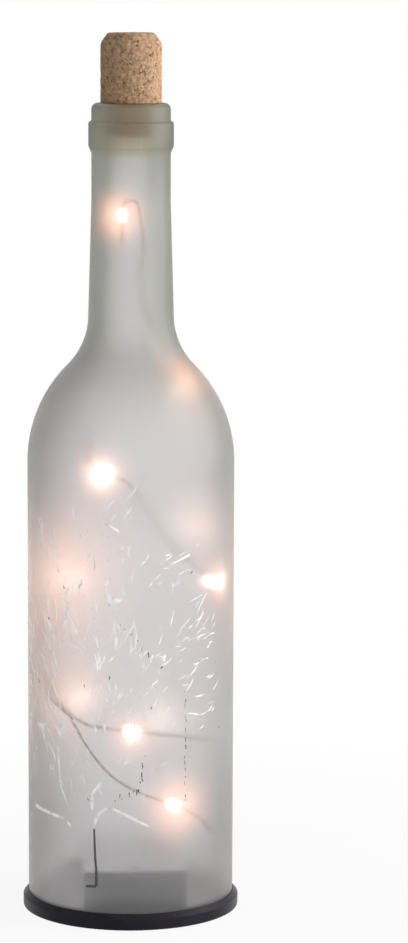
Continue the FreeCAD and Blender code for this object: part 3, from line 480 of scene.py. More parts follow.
def colour_ramp(tree, factor, stops):
    """A colour that runs through stops of (place, colour)."""
    node = add(tree, "ShaderNodeValToRGB", {0: factor})
    elements = node.color_ramp.elements
    for element, (place, colour) in zip(elements, (stops[0], stops[-1])):
        element.position = place
        element.color = colour
    for place, colour in stops[1:-1]:
        elements.new(place).color = colour
    return node.outputs[0]


def opaque(colour):
    return (*colour, 1.0)


def shaded(colour, share, lift=0.0):
    """A darker or paler colour, held within white."""
    return opaque([min(1.0, part * share + lift) for part in colour])


# Shared effects
def new_group(name, inputs, outputs):
    """A shader group with its inputs as {name: default}, and its outputs' names."""
    group = bpy.data.node_groups.new(name, "ShaderNodeTree")
    for label, value in inputs.items():
        kind = "NodeSocketVector" if isinstance(value, tuple) else "NodeSocketFloat"
        group.interface.new_socket(label, in_out="INPUT", socket_type=kind).default_value = value
    for label in outputs:
        group.interface.new_socket(label, in_out="OUTPUT", socket_type="NodeSocketFloat")
    entry = group.nodes.new("NodeGroupInput")
    leave = group.nodes.new("NodeGroupOutput")
    return group, entry.outputs, leave


def grain_group():
    """Fine moulded grain: a patchy mask and a small relief."""
    group, given, leave = new_group(
        "Moulded grain", {"Scale": 900.0, "Patch Scale": 60.0}, ("Mask", "Height"))
    place = object_place(group)
    patches = noise_at(group, place, given["Patch Scale"], 5.0)
    grain = noise_at(group, place, given["Scale"], 3.0)
    fill(group, leave, {"Mask": span(group, patches, 0.35, 0.65), "Height": grain})
    return group


def wear_group():
    """Rubbed edges: where a rounded normal leaves the real one."""
    group, given, leave = new_group("Edge wear", {"Radius": 0.0004, "Scale": 400.0}, ("Mask",))
    soft = add(group, "ShaderNodeBevel", {"Radius": given["Radius"]}, samples=4).outputs[0]
    true = add(group, "ShaderNodeNewGeometry").outputs["True Normal"]
    edge = span(group, vector_value(group, "DOT_PRODUCT", soft, true), 0.99, 0.86)
    rubbed = noise_at(group, object_place(group), given["Scale"], 4.0)
    fill(group, leave, {"Mask": times(group, edge, span(group, rubbed, 0.4, 0.62))})
    return group


def dust_group():
    """Dust that settles on what faces up."""
    group, given, leave = new_group("Settled dust", {"Scale": 220.0}, ("Mask",))
    level = span(group, upwards(group), 0.5, 0.95)
    specks = noise_at(group, object_place(group), given["Scale"], 6.0)
    fill(group, leave, {"Mask": times(group, level, span(group, specks, 0.5, 0.72))})
    return group


def glow_group():
    """A lamp's glow on the glass that it stands near, which falls away with distance."""
    group, given, leave = new_group("Lamp glow", {"Lamp": (0, 0, 0), "Radius": 0.008}, ("Mask",))
    away = vector_value(group, "DISTANCE", object_place(group), given["Lamp"])
    share = math_node(group, "DIVIDE", away, given["Radius"])
    falling = times(group, times(group, share, share), -1.0)
    fill(group, leave, {"Mask": math_node(group, "POWER", math.e, falling)})
    return group


def metal_group():
    """Drawn and tinned sheet: fine streaks and dull patches."""
    group, given, leave = new_group("Drawn metal", {"Scale": 700.0}, ("Mask", "Height"))
    place = object_place(group)
    stretch = add(group, "ShaderNodeMapping", {"Vector": place, "Scale": (1.0, 1.0, 0.08)}).outputs[0]
    streaks = noise_at(group, stretch, given["Scale"], 4.0)
    patches = noise_at(group, place, 180.0, 4.0)
    fill(group, leave, {"Mask": span(group, patches, 0.38, 0.66), "Height": streaks})
    return group


GROUP_MAKERS = {
    "grain": grain_group, "wear": wear_group, "dust": dust_group, "glow": glow_group,
    "metal": metal_group}
made_groups = {}


def use_group(tree, key, **inputs):
    """Places a shared group, which is built once, with this material's own values."""
    if key not in made_groups:
        made_groups[key] = GROUP_MAKERS[key]()
    node = tree.nodes.new("ShaderNodeGroup")
    node.node_tree = made_groups[key]
    fill(tree, node, {label.replace("_", " ").title(): value for label, value in inputs.items()})
    return node.outputs


# Plain materials
PLASTIC_RELIEF = 0.00003
METAL_RELIEF = 0.00001
METAL_WEAR = 0.3
METAL_WEAR_RADIUS = 0.0002
DUST_COLOUR = (0.42, 0.40, 0.37, 1.0)


def new_material(name):
    material = bpy.data.materials.new(name)
    material.use_nodes = True
    return material, material.node_tree, material.node_tree.nodes["Principled BSDF"]


def give_surface(tree, shader, colour, group, rough, relief):
    """Gives a shader its colour, and by a shared group a roughness between two levels and a relief."""
    fill(tree, shader, {
        "Base Color": colour,
        "Roughness": span(tree, group["Mask"], 0.0, 1.0, *rough),
        "Normal": bump(tree, group["Height"], relief)})


def plastic(name, colour, gloss, grain=900.0, wear=0.35, dust=0.0, shine=0.3):
    """Moulded plastic: patchy sheen, fine grain, rubbed edges and a little dust."""
    material, tree, shader = new_material(name)
    moulded = use_group(tree, "grain", scale=grain)
    rubbed = use_group(tree, "wear")["Mask"]
    settled = use_group(tree, "dust")["Mask"]
    body = mix_colour(tree, moulded["Mask"], opaque(colour), shaded(colour, 1.35, 0.006))
    body = mix_colour(tree, times(tree, rubbed, wear), body, shaded(colour, 2.2, 0.05))
    body = mix_colour(tree, times(tree, settled, dust), body, DUST_COLOUR)
    give_surface(tree, shader, body, moulded, (gloss - 0.05, gloss + 0.08), PLASTIC_RELIEF)
    shader.inputs["Specular IOR Level"].default_value = shine
    return material


def sheet_metal(name, colour, gloss):
    """Plated or drawn metal with streaks, dull patches and bright edges."""
    material, tree, shader = new_material(name)
    drawn = use_group(tree, "metal")
    rubbed = use_group(tree, "wear", radius=METAL_WEAR_RADIUS)["Mask"]
    body = mix_colour(tree, drawn["Mask"], opaque(colour), shaded(colour, 0.72))
    body = mix_colour(tree, times(tree, rubbed, METAL_WEAR), body, shaded(colour, 1.3))
    give_surface(tree, shader, body, drawn, (gloss, gloss + 0.22), METAL_RELIEF)
    shader.inputs["Metallic"].default_value = 1.0
    return material


def polish(material, weight, ior, gloss):
    """A clear coat on a material."""
    tree = material.node_tree
    coat = {"Coat Weight": weight, "Coat IOR": ior, "Coat Roughness": gloss}
    fill(tree, tree.nodes["Principled BSDF"], coat)


def dress(material, *nodes):
    """Gives CAD nodes a material."""
    for name in nodes:
        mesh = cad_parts[name].data
        mesh.materials.clear()
        mesh.materials.append(material)


# Plain pieces by step: material maker, name, colour, gloss, other settings, nodes
LEAD_COVER = {"grain": 2200.0, "dust": 0.1}
PLAIN_PIECES = {
    "cells": (
        (sheet_metal, "cell cap steel", (0.62, 0.61, 0.58), 0.25, {}, ["cell_caps"]),
        (sheet_metal, "nickel contact", (0.66, 0.63, 0.57), 0.22, {}, [
            "contact_springs", "positive_plate", "negative_plate", "rear_bridge_plate",
            "front_bridge_plate"]),
    ),
    "board": (
        (plastic, "chip epoxy", (0.015, 0.015, 0.016), 0.5, {"grain": 3000.0}, ["timer_chip"]),
        (sheet_metal, "crystal can", (0.70, 0.70, 0.72), 0.18, {}, ["crystal_can"]),
        (plastic, "resistor body", (0.02, 0.02, 0.024), 0.3, {"grain": 3500.0}, ["resistors"]),
        (plastic, "capacitor body", (0.36, 0.24, 0.13), 0.4, {"grain": 3500.0}, ["capacitor"]),
        (plastic, "red lead cover", (0.48, 0.02, 0.015), 0.35, LEAD_COVER, ["red_lead"]),
        (plastic, "black lead cover", (0.012, 0.012, 0.013), 0.35, LEAD_COVER, ["black_lead"]),
    ),
    "switch": (
        (sheet_metal, "switch can", (0.60, 0.60, 0.60), 0.26, {}, ["switch_shell"]),
        (plastic, "phenolic board", (0.26, 0.12, 0.05), 0.5, {"grain": 1700.0}, ["switch_board"]),
        (sheet_metal, "tinned terminal", (0.66, 0.65, 0.62), 0.28, {}, ["switch_terminals"]),
        (plastic, "knob plastic", (0.035, 0.035, 0.037), 0.34, {"wear": 0.7}, ["switch_slider"]),
        (sheet_metal, "zinc screw", (0.58, 0.58, 0.57), 0.24, {}, ["cover_screws", "switch_screws"]),
    ),
}


def dress_plain(step):
    """Finishes a step's plain plastic and metal pieces."""
    for make, name, colour, gloss, others, nodes in PLAIN_PIECES[step]:
        dress(make(name, colour, gloss, **others), *nodes)


# Places along the wire
def glass_levels(glass):
    """The centres and heights that shape the glass, by name."""
    shoulder_r = glass_high.x - glass.shoulder_radius
    blend_r = glass.root_diameter / 2 + glass.blend_radius
    step_r = blend_r - shoulder_r
    step_z = math.sqrt((glass.shoulder_radius + glass.blend_radius) ** 2 - step_r ** 2)
    root = glass.shoulder_height + step_z
    straight = root + glass.taper_length
    return {
        "shoulder": (shoulder_r, glass.shoulder_height), "blend": (blend_r, root),
        "turn": math.atan2(step_z, step_r), "root": root, "straight": straight,
        "collar": straight + glass.straight_length}


def bore_radius(height, glass):
    """The radius of the inside of the glass at a height."""
    levels = glass_levels(glass)
    shoulder_r, shoulder_z = levels["shoulder"]
    inner = glass.shoulder_radius - glass.wall
    if height <= shoulder_z:
        return glass_high.x - glass.wall
    if height <= shoulder_z + inner * math.sin(levels["turn"]):
        return shoulder_r + math.sqrt(inner ** 2 - (height - shoulder_z) ** 2)
    if height <= levels["root"]:
        blend = glass.blend_radius + glass.wall
        return levels["blend"][0] - math.sqrt(blend ** 2 - (levels["root"] - height) ** 2)
    root_r = glass.root_diameter / 2 - glass.wall
    share = (height - levels["root"]) / (levels["collar"] - levels["root"])
    return root_r + (glass.mouth_bore / 2 - root_r) * share


def glass_radius(height, glass):
    """The outside of the glass at a height, near enough for light on it."""
    return bore_radius(height, glass) + glass.wall


def route_points():
    glass = bpy.context.scene.bottle_light.glass
    shape = glass_levels(glass)
    levels = (cover_high.z, glass.shoulder_height, shape["root"], shape["collar"])
    points = []
    for angle, radius_share, height_share, lamp in WIRE_ROUTE:
        band = int(height_share)
        low, high = levels[band:band + 2]
        height = low + (height_share - band) * (high - low)
        points.append(polar(angle, radius_share * bore_radius(height, glass), height))
    return points


def lamp_runs():
    """The middle and the direction of each run that carries a lamp."""
    points = route_points()
    runs = []
    for index, station in enumerate(WIRE_ROUTE):
        if station[3]:
            along = points[index + 1] - points[index]
            runs.append(((points[index] + points[index + 1]) / 2, along.normalized()))
    return runs


def wire_line():
    """Points of the wire's smooth line, read from its NURBS spline."""
    curve = new_curve("wire_line")
    curve.resolution_u = 24
    exit_r = WIRE_EXIT_SHARE * bore_radius(cover_high.z, bpy.context.scene.bottle_light.glass)
    heights = (board_high.z, cover_high.z + WIRE_STAND)
    stand = [polar(WIRE_EXIT_ANGLE, exit_r, height) for height in heights]
    spline = add_spline(curve, "NURBS", stand + route_points())
    spline.order_u = 3
    spline.use_endpoint_u = True
    mesh = mesh_of_curve(curve)
    line = [vertex.co.copy() for vertex in mesh.vertices]
    bpy.data.meshes.remove(mesh)
    return line


# Glass
def glass_outline(glass):
    """The wall of the bottle, up the outside and down the inside."""
    radius = glass_high.x
    foot = glass_low.z
    top = glass_high.z
    chamfer = 0.5 * MM
    levels = glass_levels(glass)
    shoulder = levels["shoulder"]
    blend_r = levels["blend"][0]
    turn = levels["turn"]
    root = levels["root"]
    straight = levels["straight"]
    collar_foot = levels["collar"]
    slope_top = collar_foot + glass.collar_chamfer
    slope_in = 0.2 * MM
    slope_below = 0.4 * MM
    slope_above = 0.3 * MM
    collar_top = slope_top + glass.collar_height
    neck_r = glass.neck_diameter / 2
    collar_r = glass.collar_diameter / 2
    mouth_r = glass.mouth_bore / 2
    collar_round = 0.9 * MM
    collar_edge = (collar_r - collar_round, collar_top - collar_round)
    rim_round = 2.3 * MM
    notch = 0.35 * MM
    inner_r = radius - glass.wall
    shares = (0, 0.2, 0.4, 0.6, 0.8)
    body = [(radius, foot + chamfer + (shoulder[1] - foot) * share) for share in shares]
    inside = [(inner_r, z) for r, z in reversed(body)]
    return (
        [(inner_r + chamfer, foot), (radius - chamfer, foot)] + body
        + arc(shoulder, glass.shoulder_radius, 0, turn, steps=26)
        + arc((blend_r, root), glass.blend_radius, math.pi + turn, math.pi, steps=16)[1:]
        + [(neck_r, straight), (neck_r, collar_foot)]
        + [(collar_r - slope_in, slope_top - slope_below), (collar_r, slope_top + slope_above)]
        + arc(collar_edge, collar_round, 0, math.pi / 2, steps=6)
        + [(neck_r + notch, collar_top), (neck_r, collar_top + notch)]
        + arc((neck_r - rim_round, top - rim_round), rim_round, 0, math.pi / 2, steps=10)
        + [(mouth_r, top), (mouth_r, collar_foot)]
        + [(glass.root_diameter / 2 - glass.wall, root)]
        + arc((blend_r, root), glass.blend_radius + glass.wall, math.pi, math.pi + turn, steps=16)[1:]
        + arc(shoulder, glass.shoulder_radius - glass.wall, turn, 0, steps=26)[1:]
        + inside)


# Steps to the edge's colour, a deeper tint and painted edge shade: how far the glass turns away, and
# the share of that colour
EDGE_STEPS = ((0.05, 0.0), (0.22, 0.18), (0.45, 0.42), (0.95, 1.0))
# What the colour is multiplied by on the neck's turned-away sides (a deeper tint and painted edge
# shade), on the collar, and in the foot, where the glass grows darker towards the bottom
NECK_TINT_AND_SHADE = (0.745, 0.775, 0.725, 1.0)
COLLAR_TINT = (0.95, 0.93, 0.82, 1.0)
FOOT_DARKENING = (0.955, 0.955, 0.96, 1.0)
# The foot's pale light, and what the wall takes from the light that crosses it
FOOT_LIGHT = (1.0, 0.98, 1.0, 1.0)
ABSORBED = (0.45, 0.45, 0.41, 1.0)
ABSORPTION = 60.0
# The satin: grain, patches and relief, how uneven it is, and its share at the foot and on the collar
SATIN_GRAIN = 2600.0
SATIN_PATCHES = 38.0
SATIN_RELIEF = 0.000004
SATIN_SPREAD = 0.03
FOOT_SATIN = 0.87
COLLAR_SATIN = 1.45
GLASS_IOR = 1.5
GLOW_STRENGTH = 0.8


def glass_tint(tree, glass, height):
    """The glass's colour: deeper where it turns away, partly by tint and partly as painted edge shade,
    which painted lamp light takes mostly back on the body's middle; deeper again on the neck's
    turned-away sides, tint and painted shade alike, tinted on the collar, and darker towards the foot.
    """
    levels = glass_levels(glass)
    shoulder = glass.shoulder_height
    facing = add(tree, "ShaderNodeLayerWeight", {"Blend": 0.5}).outputs["Facing"]
    stops = []
    for place, share in EDGE_STEPS:
        between = [near + (far - near) * share for near, far in zip(glass.colour, glass.edge_tint_and_shade)]
        stops.append((place, opaque(between)))
    # Painted light: on the middle of the body the lamps' light is painted in, as most of the edge shade
    # is taken back there
    rising = span(tree, height, 0.2 * shoulder, 0.4 * shoulder, 0.0, 0.8)
    painted_belly_light = times(tree, rising, span(tree, height, 0.8 * shoulder, shoulder, 1.0, 0.0))
    rounded = mix_colour(tree, painted_belly_light, colour_ramp(tree, facing, stops), opaque(glass.colour))
    # The neck's turned-away sides: a deeper tint and painted edge shade
    aside = span(tree, facing, 0.0, 0.45, 0.20, 1.0)
    neck = times(tree, span(tree, height, shoulder, levels["root"]), aside)
    # Darker towards the bottom of the glass
    low = span(tree, height, glass_low.z, cover_high.z * 3, 1.0, 0.0)
    rim = span(tree, height, levels["collar"] - MM, levels["collar"])
    tint = mix_colour(tree, neck, WHITE, NECK_TINT_AND_SHADE)
    tint = mix_colour(tree, low, tint, FOOT_DARKENING, "MULTIPLY")
    tint = mix_colour(tree, 1.0, tint, mix_colour(tree, rim, WHITE, COLLAR_TINT), "MULTIPLY")
    return mix_colour(tree, 1.0, rounded, tint, "MULTIPLY")


def wash(tree, glass, angle, height, reach, strength):
    """A round wash of light on the glass, as a mask."""
    place = polar(angle, glass_radius(height, glass), height)
    return times(tree, use_group(tree, "glow", lamp=place, radius=reach)["Mask"], strength)


def glass_glow(tree, glass, lamps):
    """The lamps' light on the glass: the foot's pale wash, the halos, and the cores over them."""
    halo = 0.0
    core = 0.0
    for (place, along), (reach, strength, core_reach, core_strength) in zip(lamp_runs(), LAMP_GLOWS):
        spot = (math.degrees(math.atan2(place.x, -place.y)), place.z)
        halo = math_node(tree, "ADD", wash(tree, glass, *spot, reach, strength), halo)
        if core_strength:
            core = math_node(tree, "ADD", wash(tree, glass, *spot, core_reach, core_strength), core)
    for edge_wash in EDGE_WASHES:
        halo = math_node(tree, "ADD", wash(tree, glass, *edge_wash), halo)
    lit = mix_colour(tree, wash(tree, glass, *FOOT_WASH), BLACK, FOOT_LIGHT)
    lit = mix_colour(tree, halo, lit, opaque(lamps.halo_colour))
    return mix_colour(tree, core, lit, opaque(lamps.core_colour))


def frosted_glass(settings):
    """Satin glass that passes light, with the lamps' glow on it."""
    glass = settings.glass
    material, tree, shader = new_material("frosted glass")
    height = height_of(tree)
    collar = glass_levels(glass)["collar"]
    frost = use_group(tree, "grain", scale=SATIN_GRAIN, patch_scale=SATIN_PATCHES)
    satin = span(tree, frost["Mask"], 0, 1, glass.frost - SATIN_SPREAD, glass.frost + SATIN_SPREAD)
    clearer = span(tree, height, cover_high.z, cover_high.z + 24 * MM, FOOT_SATIN, 1.0)
    blurred = span(tree, height, collar, collar + 3 * MM, 1.0, COLLAR_SATIN)
    fill(tree, shader, {
        "Base Color": glass_tint(tree, glass, height),
        "Roughness": times(tree, times(tree, satin, clearer), blurred),
        "Normal": bump(tree, frost["Height"], SATIN_RELIEF),
        "Transmission Weight": 1.0 - glass.milk,
        "IOR": GLASS_IOR,
        "Emission Color": glass_glow(tree, glass, settings.lamps),
        "Emission Strength": GLOW_STRENGTH})
    absorb = add(tree, "ShaderNodeVolumeAbsorption", {"Color": ABSORBED, "Density": ABSORPTION})
    tree.links.new(absorb.outputs[0], tree.nodes["Material Output"].inputs["Volume"])
    return material


class BOTTLELIGHT_OT_glass(bpy.types.Operator):
    """Turn the frosted bottle from its outline and give it its satin glass"""
    bl_idname = "bottle_light.glass"
    bl_label = "Glass bottle"

    def execute(self, context):
        settings = context.scene.bottle_light
        bm = spin_outline(glass_outline(settings.glass), steps=160, closed=True)
        piece = piece_from(bm, "frosted_bottle", "light_body", sharp_degrees=25)
        piece.data.materials.append(frosted_glass(settings))
        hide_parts("glass_bottle")
        return {"FINISHED"}


# Etched tree
def add_stroke(bm, stations, relief):
    """A thin strip along stations of (angle, height, width), laid on the body of the bottle."""
    radius = glass_high.x
    places = [Vector((math.radians(angle) * radius, height)) for angle, height, width in stations]
    before = None
    for index, place in enumerate(places):
        ahead = places[min(index + 1, len(places) - 1)] - places[max(index - 1, 0)]
        side = Vector((-ahead.y, ahead.x)).normalized() * stations[index][2] / 2
        pair = []
        for corner in (place + side, place - side):
            pair.append(polar(math.degrees(corner.x / radius), radius + relief, corner.y))
        if before is None:
            ends = [bm.verts.new(corner) for corner in pair]
            before = bm.edges.new(ends)
        else:
            grown = bmesh.ops.extrude_edge_only(bm, edges=[before])["geom"]
            before = next(item for item in grown if isinstance(item, bmesh.types.BMEdge))
            near, far = before.verts
            if (near.co - pair[0]).length > (far.co - pair[0]).length:
                near, far = far, near
            near.co, far.co = pair


def smooth_stations(stations, steps):
    """More stations on a smooth line through the given ones."""
    fine = []
    last = len(stations) - 1
    for index in range(last):
        before, here, after, beyond = (
            Vector(stations[min(max(index + offset, 0), last)]) for offset in (-1, 0, 1, 2))
        for step in range(steps):
            t = step / steps
            cubic = 3 * (here - after) + beyond - before
            square = 2 * before - 5 * here + 4 * after - beyond
            fine.append(tuple(here + 0.5 * t * (after - before + t * (square + t * cubic))))
    fine.append(stations[-1])
    return fine


# How a twig differs from its spray's middle: place and its limit, lean, length, width, bend and ticks
TWIG_SPREAD = 0.62
TWIG_FARTHEST = 1.3
TWIG_LEAN = 17
TWIG_LENGTHS = (0.45, 1.7)
TWIG_WIDTHS = (0.45, 1.2)
TWIG_BEND = 0.22
TWIG_STEPS = 4
TICK_LENGTH = 1.3 * MM


def strayed(chance):
    """A seeded stray from the middle of a spray, in halves of its spread."""
    return max(-TWIG_FARTHEST, min(TWIG_FARTHEST, chance.gauss(0, TWIG_SPREAD)))


def spray_twigs(tree):
    """The sprays' twigs as stations, and whether each is a dark tick, as seeded chance places them."""
    chance = random.Random(tree.seed)
    radius = glass_high.x
    twigs = []
    for angle, height, half_angle, half_height, lean, count, reach in TREE_SPRAYS:
        for index in range(round(count * tree.density)):
            foot_angle = angle + half_angle * strayed(chance)
            foot_height = height + half_height * strayed(chance)
            heading = math.radians(lean + chance.gauss(0, TWIG_LEAN))
            length = reach * chance.uniform(*TWIG_LENGTHS)
            width = tree.stroke_width * chance.uniform(*TWIG_WIDTHS)
            bend = chance.gauss(0, TWIG_BEND)
            ticked = chance.random() < tree.dark_share
            if ticked:
                length = min(length, TICK_LENGTH)
            line = []
            for step in range(TWIG_STEPS + 1):
                share = step / TWIG_STEPS
                turn = heading + bend * share
                line.append((
                    foot_angle + math.degrees(length * share * math.sin(turn) / radius),
                    foot_height + length * share * math.cos(turn),
                    width * (0.25 + math.sin(math.pi * (0.15 + 0.7 * share)))))
            twigs.append((line, ticked))
    return twigs


# How a seam's dot differs from its place: share of the step, angle, height, length, width and lean
DOT_STRAY = 0.25
DOT_ANGLE = 0.6
DOT_HEIGHT = 0.5
DOT_LENGTHS = (0.3, 2.2)
DOT_WIDTHS = (0.15, 0.46)
DOT_LEAN = 0.35
DOT_TAPER = 0.7


def seam_dots(tree):
    """The seams' dots as short strokes, as seeded chance places them."""
    chance = random.Random(tree.seed + 1)
    strokes = []
    for start, end, dots in TREE_SEAMS:
        for index in range(dots):
            share = (index + chance.uniform(-DOT_STRAY, DOT_STRAY)) / (dots - 1)
            angle = start[0] + (end[0] - start[0]) * share + chance.gauss(0, DOT_ANGLE)
            height = start[1] + (end[1] - start[1]) * share + chance.gauss(0, DOT_HEIGHT) * MM
            long = chance.uniform(*DOT_LENGTHS) * MM
            wide = chance.uniform(*DOT_WIDTHS) * MM
            lean = chance.gauss(0, DOT_LEAN)
            strokes.append([(angle, height, wide), (angle + lean, height - long, wide * DOT_TAPER)])
    return strokes


# The etching: gloss, painted glow, the dark strokes' colour of painted shade, two shades of a stroke,
# and its painted glow low down
STROKE_GLOSS = 0.25
STROKE_GLOW = 0.54
DARK_STROKE = (0.12, 0.125, 0.14)
PART_SHADE = 0.78
DEEP_SHADE = 0.5
LOW_GLOW = 0.72


def etched_glass(name, colour, glow):
    """The clear cut of the etching: a painted glow for the lit inside that it shows, flecked brighter
    and duller, and less so near the foot. Given no glow and a dark colour, it is painted shade for the
    dark inside that the cut shows.
    """
    material, tree, shader = new_material(name)
    fleck = noise_at(tree, object_place(tree), 420.0, 3.0)
    patch = noise_at(tree, object_place(tree), 150.0, 2.0)
    shade = span(tree, fleck, 0.36, 0.56)
    grey = shaded(colour, PART_SHADE)
    lower = glass_low.z + 0.25 * (glass_high.z - glass_low.z)
    strength = span(tree, height_of(tree), 0.6 * lower, 1.1 * lower, LOW_GLOW * glow, glow)
    fill(tree, shader, {
        "Base Color": mix_colour(tree, shade, shaded(colour, DEEP_SHADE), grey),
        "Roughness": span(tree, fleck, 0.3, 0.7, STROKE_GLOSS, STROKE_GLOSS + 0.2),
        "Emission Color": mix_colour(tree, shade, grey, opaque(colour)),
        "Emission Strength": times(tree, strength, span(tree, patch, 0.42, 0.58, 0.72, 1.0))})
    return material


class BOTTLELIGHT_OT_tree(bpy.types.Operator):
    """Lay the etched bare tree on the front of the bottle"""
    bl_idname = "bottle_light.tree"
    bl_label = "Etched tree"

    def execute(self, context):
        tree = context.scene.bottle_light.tree
        pale = bmesh.new()
        dark = bmesh.new()
        for name, stations in TREE_LIMBS.items():
            strokes = dark if name in DARK_LIMBS else pale
            add_stroke(strokes, smooth_stations(stations, steps=5), tree.relief)
        for line, ticked in spray_twigs(tree):
            add_stroke(dark if ticked else pale, line, tree.relief)
        for line in seam_dots(tree):
            add_stroke(dark, line, tree.relief)
        # The pale strokes carry a painted glow, the dark strokes painted shade
        sets = (
            (pale, "etched_tree", tree.colour, STROKE_GLOW),
            (dark, "etched_tree_shade", DARK_STROKE, 0.0))
        for bm, name, colour, glow in sets:
            bmesh.ops.solidify(bm, geom=bm.faces, thickness=-tree.relief / 2)
            piece = piece_from(bm, name, "light_body", sharp_degrees=40)
            piece.data.materials.append(etched_glass(name.replace("_", " "), colour, glow))
        return {"FINISHED"}


# Light string
COPPER = (0.44, 0.33, 0.27, 1.0)
DARK_COPPER = (0.28, 0.21, 0.18, 1.0)
COPPER_LIT = (0.5, 0.38, 0.31, 1.0)
RESIN = (0.9, 0.8, 0.6, 1.0)


def copper_wire():
    """Lacquered copper that the lamps light a little."""
    material, tree, shader = new_material("copper wire")
    drawn = use_group(tree, "metal", scale=1500.0)
    body = mix_colour(tree, drawn["Mask"], COPPER, DARK_COPPER)
    give_surface(tree, shader, body, drawn, rough=(0.3, 0.5), relief=METAL_RELIEF)
    fill(tree, shader, {"Metallic": 0.3, "Emission Color": COPPER_LIT, "Emission Strength": 0.18})
    return material


class BOTTLELIGHT_OT_wire(bpy.types.Operator):
    """Twist the two lacquered strands of the light string along their route"""
    bl_idname = "bottle_light.wire"
    bl_label = "Light wire"

    def execute(self, context):
        lamps = context.scene.bottle_light.lamps
        line = wire_line()
        side = (line[1] - line[0]).orthogonal().normalized()
        travelled = 0.0
        strands = ([], [])
        for index, place in enumerate(line):
            ahead = (line[min(index + 1, len(line) - 1)] - line[max(index - 1, 0)]).normalized()
            side = (side - ahead * side.dot(ahead)).normalized()
            if index:
                travelled += (place - line[index - 1]).length
            turn = Matrix.Rotation(2 * math.pi * travelled / lamps.twist, 3, ahead)
            offset = turn @ side * lamps.wire_diameter / 4
            strands[0].append(place + offset)
            strands[1].append(place - offset)
        curve = new_curve("wire_strands")
        curve.bevel_depth = lamps.wire_diameter / 4
        curve.bevel_resolution = 1
        curve.use_fill_caps = True
        for strand in strands:
            add_spline(curve, "POLY", strand)
        mesh = mesh_of_curve(curve)
        bm = bmesh.new()
        bm.from_mesh(mesh)
        bpy.data.meshes.remove(mesh)
        piece = piece_from(bm, "twisted_wire", "light_body", sharp_degrees=60)
        piece.data.materials.clear()
        piece.data.materials.append(copper_wire())
        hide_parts("light_wire")
        return {"FINISHED"}


def lit_resin(lamps):
    """Clear resin lit from within by its lamp, whiter towards the middle and dimmer up in the neck."""
    material, tree, shader = new_material("lit resin drop")
    facing = add(tree, "ShaderNodeLayerWeight", {"Blend": 0.4}).outputs["Facing"]
    lit = mix_colour(tree, facing, opaque(lamps.core_colour), opaque(lamps.halo_colour))
    shoulder = bpy.context.scene.bottle_light.glass.shoulder_height
    dimmer = span(tree, height_of(tree), shoulder, 1.4 * shoulder, lamps.power, 0.35 * lamps.power)
    fill(tree, shader, {
        "Base Color": RESIN,
        "Roughness": 0.12,
        "Coat Weight": 0.6,
        "Emission Color": lit,
        "Emission Strength": dimmer})
    return material


def lamp_chip(lamps):
    """The small lamp inside each drop, with its yellow phosphor."""
    material, tree, shader = new_material("lamp chip")
    phosphor = use_group(tree, "grain", scale=4000.0)["Mask"]
    fill(tree, shader, {
        "Base Color": mix_colour(tree, phosphor, (0.9, 0.75, 0.2, 1), (0.95, 0.85, 0.4, 1)),
        "Emission Color": mix_colour(tree, phosphor, (1.0, 0.82, 0.55, 1), (1.0, 0.9, 0.7, 1)),
        "Emission Strength": lamps.power})
    return material


class BOTTLELIGHT_OT_lamps(bpy.types.Operator):
    """Cast the lit resin drops on the wire, one on each lamp run"""
    bl_idname = "bottle_light.lamps"
    bl_label = "Lamp drops"

    def execute(self, context):
        lamps = context.scene.bottle_light.lamps
        half = lamps.bead_length / 2
        steps = 16
        outline = []
        for index in range(steps + 1):
            along = -1 + 2 * index / steps
            swell = (1 - along * along) ** 0.5 if abs(along) < 1 else 0.0
            outline.append((lamps.bead_diameter / 2 * swell * (1 - 0.12 * along), half * along))
        drops = bmesh.new()
        for place, along in lamp_runs():
            drop = spin_outline(outline, steps=24, closed=False)
            turn = Vector((0, 0, 1)).rotation_difference(along).to_matrix().to_4x4()
            bmesh.ops.transform(drop, matrix=Matrix.Translation(place) @ turn, verts=drop.verts)
            mesh = bpy.data.meshes.new("drop")
            drop.to_mesh(mesh)
            drop.free()
            drops.from_mesh(mesh)
            bpy.data.meshes.remove(mesh)
        piece = piece_from(drops, "lamp_drops", "light_body", sharp_degrees=60)
        piece.data.materials.append(lit_resin(lamps))
        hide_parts("led_beads")
        dress(lamp_chip(lamps), "led_chips")
        return {"FINISHED"}


# Cork
# Its plug's radius and chamfer, its flat top's radius, the drop of the top's slope, and the rings' step
PLUG_RADIUS = 9.55 * MM
PLUG_CHAMFER = 0.8 * MM
TOP_RADIUS = 8.5 * MM
SLOPE_DROP = 3.7 * MM
RING_STEP = 0.42 * MM
# Sizes of the grains, hollows and unevenness pressed into it
GRAIN_SIZE = 2.6 * MM
HOLLOW_SIZE = 1.9 * MM
UNEVEN_SIZE = 6 * MM
UNEVEN_DEPTH = 0.08 * MM
CORK_RELIEF = 0.00022
PLUG_PALE = (0.82, 0.66, 0.48, 1.0)


def cork_outline(cork, mouth_top):
    """The cork's outline from the foot of its plug to its top, with close steps for its pits."""
    body_r = cork_high.x
    foot = cork_low.z
    top = cork_high.z
    edge = 0.3 * MM
    corner = cork.corner
    slope_foot = top - SLOPE_DROP
    corners = [
        (0, foot), (PLUG_RADIUS - PLUG_CHAMFER, foot), (PLUG_RADIUS, foot + PLUG_CHAMFER),
        (PLUG_RADIUS, mouth_top), (body_r - edge, mouth_top), (body_r, mouth_top + edge),
        (body_r, slope_foot - corner), (body_r - 0.35 * corner, slope_foot + 0.3 * corner),
        (TOP_RADIUS + 0.55 * corner, top - 0.75 * corner),
        (TOP_RADIUS - 0.3 * corner, top - 0.12 * corner), (TOP_RADIUS - corner, top), (0, top)]
    outline = []
    for start, end in zip(corners, corners[1:]):
        count = max(1, round(math.dist(start, end) / RING_STEP))
        for index in range(count):
            share = index / count
            outline.append(tuple(here + (there - here) * share for here, there in zip(start, end)))
    outline.append(corners[-1])
    return outline


